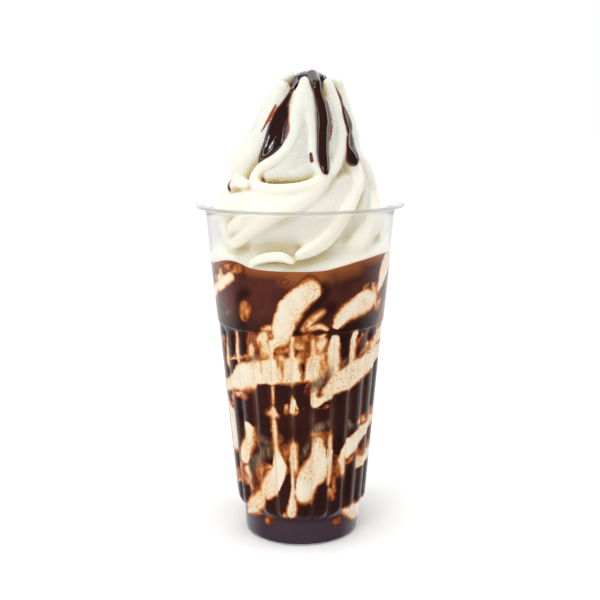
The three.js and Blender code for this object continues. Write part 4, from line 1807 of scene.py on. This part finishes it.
@dataclass
class Swirl:
    """The piped soft serve: ridges joined over a cone that leans a little to the right.

    Attributes:
        profile: Heights, and the radius over the ridges at each.
        lean: Heights, and where the swirl's axis stands at each.
        core_inset: How far the cone is behind the ridges, up to core_top.
        contact_fade: Heights round the contact line over which it comes free of the wall.
        fold_reaches: How far out from the skin its folds are felt for, which sets the painted shade in
            the creases and the pores.
        webs: Distance to the webs alone, which are the most porous.
    """

    cup: CupShape
    crown_height: float
    step: float
    profile: Stops = (
        (126, 41.0), (130, 40.6), (142, 38.6), (152, 38.0), (160, 34.0), (165, 32.8), (170, 31.0),
        (180, 27.0), (200, 18.8), (208, 15.6), (214, 9.0),
    )
    lean: Stops = (
        (130, -0.4), (140, -1.6), (152, -2.2), (161, 0.3), (178, 0.6), (190, 2.4), (214, 4.0),
    )
    floor: float = 126.0
    core_top: float = 205.0
    core_inset: float = 4.6
    core_scale: float = 0.9
    contact_fade: tuple[float, float] = (-4.0, 5.0)
    into_wall: float = 0.12
    samples: int = 40
    smallest: int = 5000
    fold_reaches: tuple[float, ...] = (1.5, 3.0, 5.0, 8.0)
    crease_shade_span: tuple[float, float] = (0.18, 0.75)
    pore_span: tuple[float, float] = (0.10, 0.40)
    fold_pores: float = 0.6
    web_span: tuple[float, float] = (0.2, 1.4)
    webs: VoxelField = field(init=False)

    def radius(self, height: np.ndarray) -> np.ndarray:
        """Radius over the ridges at a height."""
        heights, radii = zip(*self.profile)
        return np.interp(height, heights, radii)

    def axis(self, height: np.ndarray) -> np.ndarray:
        """Where the swirl's axis stands at a height."""
        heights, places = zip(*self.lean)
        return np.interp(height, heights, places)

    def on_cone(self, bearing: np.ndarray, height: np.ndarray, depth: np.ndarray) -> np.ndarray:
        """Points a depth behind the cone over the ridges."""
        return point_at(bearing, self.radius(height) - depth, height, self.axis(height))

    def add(self, grid: VoxelField, ridge: Ridge) -> None:
        """Joins one ridge to a field.

        Args:
            grid: The field.
            ridge: The ridge.
        """
        bearing, height, width, rise = curve_through(np.array(ridge.stops), self.samples).T
        points = self.on_cone(bearing, height, width - rise)
        window, distance, _ = grid.chain(points, width, ridge.softness + 2 * self.step)
        grid.join(window, distance, ridge.softness)

    def joined(self) -> VoxelField:
        """Joins the cone, the webs and the ridges into one field, cut to the cup's room.

        Returns:
            The field of the ice cream.
        """
        reach = self.cup.radius(self.cup.neck_height) + 1.5
        low = (-reach, -reach, self.floor)
        grid = VoxelField(low, (reach, reach, self.crown_height + 2), self.step)
        self.webs = VoxelField(grid.low, grid.high, self.step)
        x, y, z = grid.axes()
        contact = round_the_clock(np.degrees(np.arctan2(x, -y)), CONTACT_STOPS)
        free = smooth(z - contact, *self.contact_fade)
        away = np.hypot(x - self.axis(z), y)
        pressed = np.hypot(x, y) - (self.cup.inner(z) + 1.0)
        cone = (away - self.radius(z) + self.core_inset) * self.core_scale
        cone = np.maximum(cone * free + pressed * (1 - free), z - self.core_top)
        grid.values[...] = cone
        for ridge in WEBS:
            self.add(grid, ridge)
            self.add(self.webs, ridge)
        for ridge in HIDDEN + RIDGES:
            self.add(grid, ridge)
        wall = np.hypot(x, y) - (self.cup.inner(z) + self.into_wall)
        wall = np.where(z > self.cup.rim_height - 4, -FAR, wall)
        values = np.maximum(grid.values, wall)
        values = np.maximum(values, self.floor + 2 * self.step - z)
        grid.values = values.astype(np.float32)
        return grid

    def build(self, grid: VoxelField, material: bpy.types.Material) -> bpy.types.Object:
        """Builds the ice cream's skin from its field.

        Args:
            grid: Its field.
            material: Its finish.

        Returns:
            The swirl's object.
        """
        vertices, quads = grown_only(*grid.skin(), least=self.smallest)
        made = mesh_object("ice_cream_swirl", vertices, quads)
        outward = grid.slope(vertices)
        # How shut in each place is: it sets the painted shade in the creases, and with the webs, the
        # pores.
        shut = np.zeros(len(vertices))
        for reach in self.fold_reaches:
            ahead = grid.sample(vertices + outward * reach) / reach
            shut += np.clip(1 - ahead, 0, 1) / len(self.fold_reaches)
        store(made, Trait.CREASE, smooth(shut, *self.crease_shade_span))
        webbed = 1 - smooth(np.abs(self.webs.sample(vertices)), *self.web_span)
        folded = smooth(shut, *self.pore_span) * self.fold_pores
        store(made, Trait.POROUS, np.maximum(folded, webbed))
        return self.frosting().run(made, material)

    def frosting(self) -> GeometryTree:
        """Makes the tree that evens the skin and gives it the small unevenness of ice cream.

        Returns:
            The tree, with its sizes as named inputs.
        """
        sizes = {"Evening": 3.0, "Lump Scale": 190.0, "Lump Height": 0.25 * MM, "Seed": 3.0}
        tree = GeometryTree("Ice cream skin", sizes)
        sheet, size = tree.sheet, tree.given.outputs
        even = tree.evened()
        position = sheet.node("GeometryNodeInputPosition").outputs[0]
        normal = sheet.node("GeometryNodeInputNormal").outputs[0]
        lumps = sheet.noise(sheet.vector("ADD", position, size["Seed"]), size["Lump Scale"], 2.0)
        swell = sheet.math("MULTIPLY", sheet.math("SUBTRACT", lumps, 0.5), size["Lump Height"])
        inputs = {"Geometry": even, "Offset": sheet.scaled(normal, swell)}
        tree.end(sheet.node("GeometryNodeSetPosition", inputs).outputs[0])
        return tree


# ---- drizzle


@dataclass(frozen=True)
class Stream:
    """A stream of thick sauce over the ice cream.

    Attributes:
        thickness: How thick it is at its middle.
        stops: Bearing, height and half width at each of its points.
        poured: Whether it runs down from the pool at the crown.
    """

    thickness: float
    stops: Stops
    poured: bool = True


STREAMS = [
    Stream(1.8, (
        (-22, 210.5, 1.7), (-30, 208.2, 1.3), (-33, 205, 1.0), (-35, 201.8, 1.3), (-37, 198.4, 1.9),
        (-37, 194.2, 3.3), (-34.5, 189.1, 4.8), (-33, 186.1, 5.4), (-33, 180.7, 5.0),
        (-35.5, 177.7, 4.2), (-38.2, 174.8, 3.2), (-40, 173.8, 2.0),
    )),
    Stream(1.8, (
        (18, 210.5, 2.6), (15.6, 208, 2.4), (17.3, 203.8, 2.3), (21, 197.4, 2.7),
        (21.4, 191.9, 3.0), (20.2, 187.7, 2.8), (19.8, 180.6, 2.8), (19.2, 174.3, 2.8),
        (18.8, 170.6, 1.8),
    )),
    Stream(1.5, (
        (52, 209.6, 0.7), (50, 207.4, 0.7), (52, 204.4, 1.1), (54, 201.4, 1.6), (53, 197.9, 1.3),
        (55, 192.8, 3.6), (56, 189.4, 3.5), (54, 186.4, 1.9), (54, 182.5, 3.8), (52, 177.8, 4.2),
        (50, 175.2, 3.2),
    )),
    Stream(1.6, (
        (134, 209.5, 2.0), (137, 203, 1.6), (133, 194, 2.6), (126, 184, 3.4), (123, 179, 2.2),
    )),
    Stream(1.6, (
        (216, 209.5, 2.0), (219, 205, 1.6), (212, 195, 3.0), (206, 187, 4.0), (203, 182, 2.6),
    )),
    Stream(1.2, ((-27, 193.5, 1.2), (-22, 188.5, 2.2), (-22.5, 184, 2.2), (-27, 180, 1.4)), False),
    Stream(0.3, ((-28, 197, 1.0), (-22, 192, 1.5), (-17.5, 188, 1.4), (-17, 184.5, 0.8)), False),
    Stream(0.3, ((-45, 199, 0.5), (-47, 192, 0.8), (-48, 187, 0.5)), False),
    Stream(0.3, ((26.5, 203, 1.0), (29, 196, 1.2), (29, 190, 1.4), (27, 184, 1.0)), False),
]

DROPS = [
    Stream(1.2, ((-67, 165.4, 1.0), (-66, 162.5, 1.5)), False),
    Stream(0.7, ((8, 178, 0.8), (8.5, 175, 1.0)), False),
]


@dataclass
class Drizzle:
    """Thick chocolate sauce: a pool between the ridge tips and streams down the valleys.

    Attributes:
        sunk: How far it reaches into the ice cream, so that no gap shows.
        slimness: The most that a stream's thickness may be, as a share of its half width.
        spill_share: Where between the pool's middle and its top a stream starts.
        search: From how far before the cone to how far behind it the skin is looked for.
        deepest: Thickness over the ice cream past which the film's colour stays the same.
    """

    swirl: Swirl
    ice_cream: VoxelField
    step: float
    pool_centre: tuple[float, float] = (4.6, 0.0)
    pool_radius: float = 7.8
    pool_top: float = 213.9
    pool_fall: float = 2.8
    pool_depth: float = 9.5
    margin: float = 2.0
    sunk: float = 0.5
    blend: float = 1.0
    slimness: float = 0.8
    spill_share: float = 0.4
    spill_width: float = 1.2
    search: tuple[float, float, int] = (-4, 12, 161)
    smallest: int = 60
    samples: int = 48
    deepest: float = 2.0

    def laid(self, stream: Stream) -> tuple[np.ndarray, np.ndarray]:
        """Lays a stream's middle line on the ice cream.

        Args:
            stream: The stream.

        Returns:
            Points on the ice cream's skin and the half width at each, from where it meets it.
        """
        bearing, height, width = curve_through(np.array(stream.stops), self.samples).T
        depth = np.linspace(*self.search)
        places = self.swirl.on_cone(bearing[:, None], height[:, None], depth[None, :])
        found = self.ice_cream.sample(places.reshape(-1, 3)).reshape(len(bearing), -1)
        first = (found < 0).argmax(axis=1)
        met = np.flatnonzero((found < 0).any(axis=1))
        return places[met, first[met]], width[met]

    def room(self, streams: list[Stream]) -> VoxelField:
        """Makes an empty field that has room for streams and, where they reach it, the pool.

        Args:
            streams: The streams.

        Returns:
            The field.
        """
        points = np.vstack([self.laid(stream)[0] for stream in streams])
        widest = max(stop[2] for stream in streams for stop in stream.stops)
        low, high = points.min(0) - widest - self.margin, points.max(0) + widest + self.margin
        high[2] = min(high[2], self.pool_top + self.margin)
        return VoxelField(tuple(low), tuple(high), self.step)

    def lay(self, grid: VoxelField, ice: np.ndarray, stream: Stream) -> None:
        """Joins one stream to a field as a rounded bead on the ice cream.

        Args:
            grid: The field.
            ice: Distance to the ice cream at each of its places.
            stream: The stream.
        """
        points, width = self.laid(stream)
        reach = stream.thickness + 3 * self.step
        if stream.poured:
            spill = np.array([*self.pool_centre, self.pool_top - self.pool_fall])
            spill[:2] += (points[0, :2] - spill[:2]) * self.spill_share
            ends = np.array([width[0] * self.spill_width, width[0]])
            window, rod, _ = grid.chain(np.array([spill, points[0]]), ends, reach)
            grid.join(window, rod, self.blend)
        window, distance, radius = grid.chain(points, width, reach)
        ratio = 1 + distance / radius
        full = np.minimum(stream.thickness, self.slimness * radius)
        bead = full * np.sqrt(np.clip(1 - ratio**2, 0, 1))
        bead = np.where(ratio < 1, bead, -distance)
        grid.join(window, ice[window] - bead, min(self.blend, stream.thickness))

    def skin(self, streams: list[Stream], pooled: bool) -> Net:
        """Lays streams on the ice cream, and fills the hollow at the crown when asked to.

        Args:
            streams: The streams.
            pooled: Whether the pool at the crown is part of the piece.

        Returns:
            Vertices and quads of the sauce's skin.
        """
        grid = self.room(streams)
        x, y, z = np.broadcast_arrays(*grid.axes())
        ice = self.ice_cream.sample(np.stack([x, y, z], -1).reshape(-1, 3)).reshape(x.shape)
        for stream in streams:
            self.lay(grid, ice, stream)
        if pooled:
            away = np.hypot(x - self.pool_centre[0], y - self.pool_centre[1])
            level = self.pool_top - self.pool_fall * (away / self.pool_radius) ** 2
            body = np.maximum(away - self.pool_radius, z - level)
            body = np.maximum(body, self.pool_top - self.pool_depth - z)
            grid.join((slice(None),) * 3, body.astype(np.float32), self.blend)
        grid.values = np.maximum(grid.values, -self.sunk - ice).astype(np.float32)
        return grown_only(*grid.skin(), least=self.smallest)

    def build(self, material: bpy.types.Material) -> list[bpy.types.Object]:
        """Builds the poured sauce and the drops beside it.

        Args:
            material: The sauce's finish.

        Returns:
            One object a piece.
        """
        pieces = [("drizzle", *self.skin(STREAMS, pooled=True))]
        for number, drop in enumerate(DROPS, 1):
            pieces.append((f"drizzle_drop_{number}", *self.skin([drop], pooled=False)))
        evening = GeometryTree("Sauce skin", {"Evening": 4.0})
        evening.end(evening.evened())
        made = []
        for name, vertices, quads in pieces:
            piece = mesh_object(name, vertices, quads)
            store(piece, Trait.FILM, np.clip(self.ice_cream.sample(vertices), 0, self.deepest))
            made.append(evening.run(piece, material))
        return made


# ---- studio


@dataclass(frozen=True)
class Sun:
    """A light from one side of the sky.

    Attributes:
        name: Its name.
        strength: How strong it is.
        width: How wide it is in the sky, in degrees.
        came_from: The direction that it comes from.
        mirrored: Whether it is mirrored in the plastic and the sauce.
    """

    name: str
    strength: float
    width: float
    came_from: tuple[float, float, float]
    mirrored: bool

    def build(self) -> None:
        """Adds the sun."""
        sun = bpy.data.lights.new(self.name, "SUN")
        sun.energy = self.strength
        sun.angle = math.radians(self.width)
        made = linked(self.name, sun)
        made.rotation_euler = Vector(self.came_from).to_track_quat("Z", "Y").to_euler()
        made.visible_glossy = self.mirrored


@dataclass(frozen=True)
class SoftLight:
    """A rectangular studio light, its place and size in metres and its power in watts."""

    name: str
    place: tuple[float, float, float]
    size: tuple[float, float]
    power: float

    def build(self, aim: Vector) -> None:
        """Adds the light.

        Args:
            aim: What it points at.
        """
        lamp = bpy.data.lights.new(self.name, "AREA")
        lamp.shape = "RECTANGLE"
        lamp.size, lamp.size_y = self.size
        lamp.energy = self.power
        made = linked(self.name, lamp)
        made.location = self.place
        made.rotation_euler = (aim - Vector(self.place)).to_track_quat("-Z", "Y").to_euler()


@dataclass
class Studio:
    """The camera at the photograph's viewing angle, a pale floor and soft light, in metres.

    The surround is as bright as it says in mirrorings from the back, and dims to the front.
    """

    camera_height: float = 0.18923
    camera_distance: float = 0.4351
    pitch: float = 10.35
    roll: float = -0.34
    lens: float = 57.0
    sensor: float = 36.0
    shift: float = -0.63 / 600
    clip: tuple[float, float] = (0.01, 20.0)
    floor_size: float = 40.0
    aim_height: float = 0.11
    world_light: float = 0.46
    surround: float = 1.0
    mirrored_front: float = 0.08
    mirror_fade: tuple[float, float] = (-0.1, 0.5)
    suns: tuple[Sun, ...] = (
        Sun("top_light", 1.35, 75.0, (-0.15, -0.35, 1.0), False),
        Sun("overhead_light", 0.65, 16.0, (0.0, -0.04, 1.0), True),
    )
    lights: tuple[SoftLight, ...] = (
        SoftLight("key_softbox", (-0.55, -0.85, 0.60), (0.22, 0.5), 1.1),
        SoftLight("left_softbox", (-0.80, -0.25, 0.60), (0.22, 0.5), 1.0),
        SoftLight("right_softbox", (0.80, 0.05, 0.60), (0.22, 0.5), 1.0),
        SoftLight("glint_light", (-0.30, -0.80, 0.70), (0.05, 0.14), 0.42),
    )

    def build(self) -> None:
        """Builds the floor, the lights and the camera."""
        self.build_camera()
        self.build_stage()
        aim = Vector((0, 0, self.aim_height))
        for light in self.lights:
            light.build(aim)
        for sun in self.suns:
            sun.build()
        self.build_world()
        bpy.context.scene.view_settings.view_transform = "Standard"

    def build_world(self) -> None:
        """Adds an even surround: white where it is looked at, dim in what it lights and mirrors."""
        world = bpy.data.worlds.new("Studio")
        world.use_nodes = True
        sheet = NodeSheet(world.node_tree)
        rays = sheet.node("ShaderNodeLightPath").outputs
        seen = sheet.math("MAXIMUM", rays["Is Camera Ray"], rays["Is Transmission Ray"])
        towards = sheet.node("ShaderNodeTexCoord").outputs["Generated"]
        back = sheet.node("ShaderNodeSeparateXYZ", {0: towards}).outputs["Y"]
        mirrored = sheet.ranged(back, *self.mirror_fade, (self.mirrored_front, self.surround))
        mirrored = sheet.math("MULTIPLY", mirrored, rays["Is Glossy Ray"])
        fill = sheet.math("MULTIPLY", rays["Is Diffuse Ray"], self.world_light)
        strength = sheet.math("ADD", sheet.math("ADD", mirrored, fill), seen)
        background = world.node_tree.nodes["Background"].inputs
        sheet.feed(background["Strength"], strength)
        background["Color"].default_value = (1, 1, 1, 1)
        bpy.context.scene.world = world

    def build_camera(self) -> None:
        """Adds the camera where the photograph was taken from."""
        data = bpy.data.cameras.new("Camera")
        data.lens = self.lens
        data.sensor_width = self.sensor
        data.shift_x = self.shift
        data.clip_start, data.clip_end = self.clip
        camera = linked("Camera", data)
        tilt = Matrix.Rotation(math.radians(90 - self.pitch), 4, "X")
        turn = Matrix.Rotation(math.radians(self.roll), 4, "Z")
        place = Matrix.Translation((0, -self.camera_distance, self.camera_height))
        camera.matrix_world = place @ tilt @ turn
        bpy.context.scene.camera = camera

    def build_stage(self) -> None:
        """Adds the floor, which isn't part of the sundae."""
        half = self.floor_size / 2 / MM
        places = np.array([[-half, -half, 0], [half, -half, 0], [half, half, 0], [-half, half, 0]])
        floor = mesh_object("floor", places, [(0, 1, 2, 3)])
        floor.data.materials.append(StudioSurface().make())
        floor.visible_glossy = False


# ---- the sundae


def settle(piece: bpy.types.Object, slot: Slot, *nodes: str) -> None:
    """Puts a finished piece in the frame and reports it.

    Args:
        piece: The piece.
        slot: Not used.
        nodes: The CAD nodes that it stands for.
    """
    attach(piece, BODY)
    if nodes:
        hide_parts(*nodes)
    log.info("%s: %d faces", piece.name, len(piece.data.polygons))


def main() -> None:
    """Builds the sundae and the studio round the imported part."""
    logging.basicConfig(level=logging.INFO, format="%(message)s")
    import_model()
    Studio().build()

    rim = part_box("cup")[1]
    shape = CupShape(rim_radius=rim.x / MM, rim_height=rim.z / MM)
    patterns = SharedPatterns()
    fluting = shape.fluting()
    plastic = ClearPlastic().make(patterns)
    settle(Cup(shape).build(plastic, fluting), Slot.PLASTIC, "cup")
    marbled = MarbledSauce().make(patterns)
    settle(MarbledFilling(shape).build(marbled, fluting), Slot.MARBLED, "marbled_filling")

    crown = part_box("soft_serve")[1].z / MM
    swirl = Swirl(shape, crown, step=SWIRL_STEP)
    ice_cream = swirl.joined()
    settle(swirl.build(ice_cream, SoftIceCream().make(patterns)), Slot.ICE_CREAM, "soft_serve")
    sauce = ThickSauce().make(patterns)
    step = SAUCE_STEP
    for piece in Drizzle(swirl, ice_cream, step).build(sauce):
        settle(piece, Slot.SAUCE, "soft_serve")


if __name__ == "__main__":
    main()
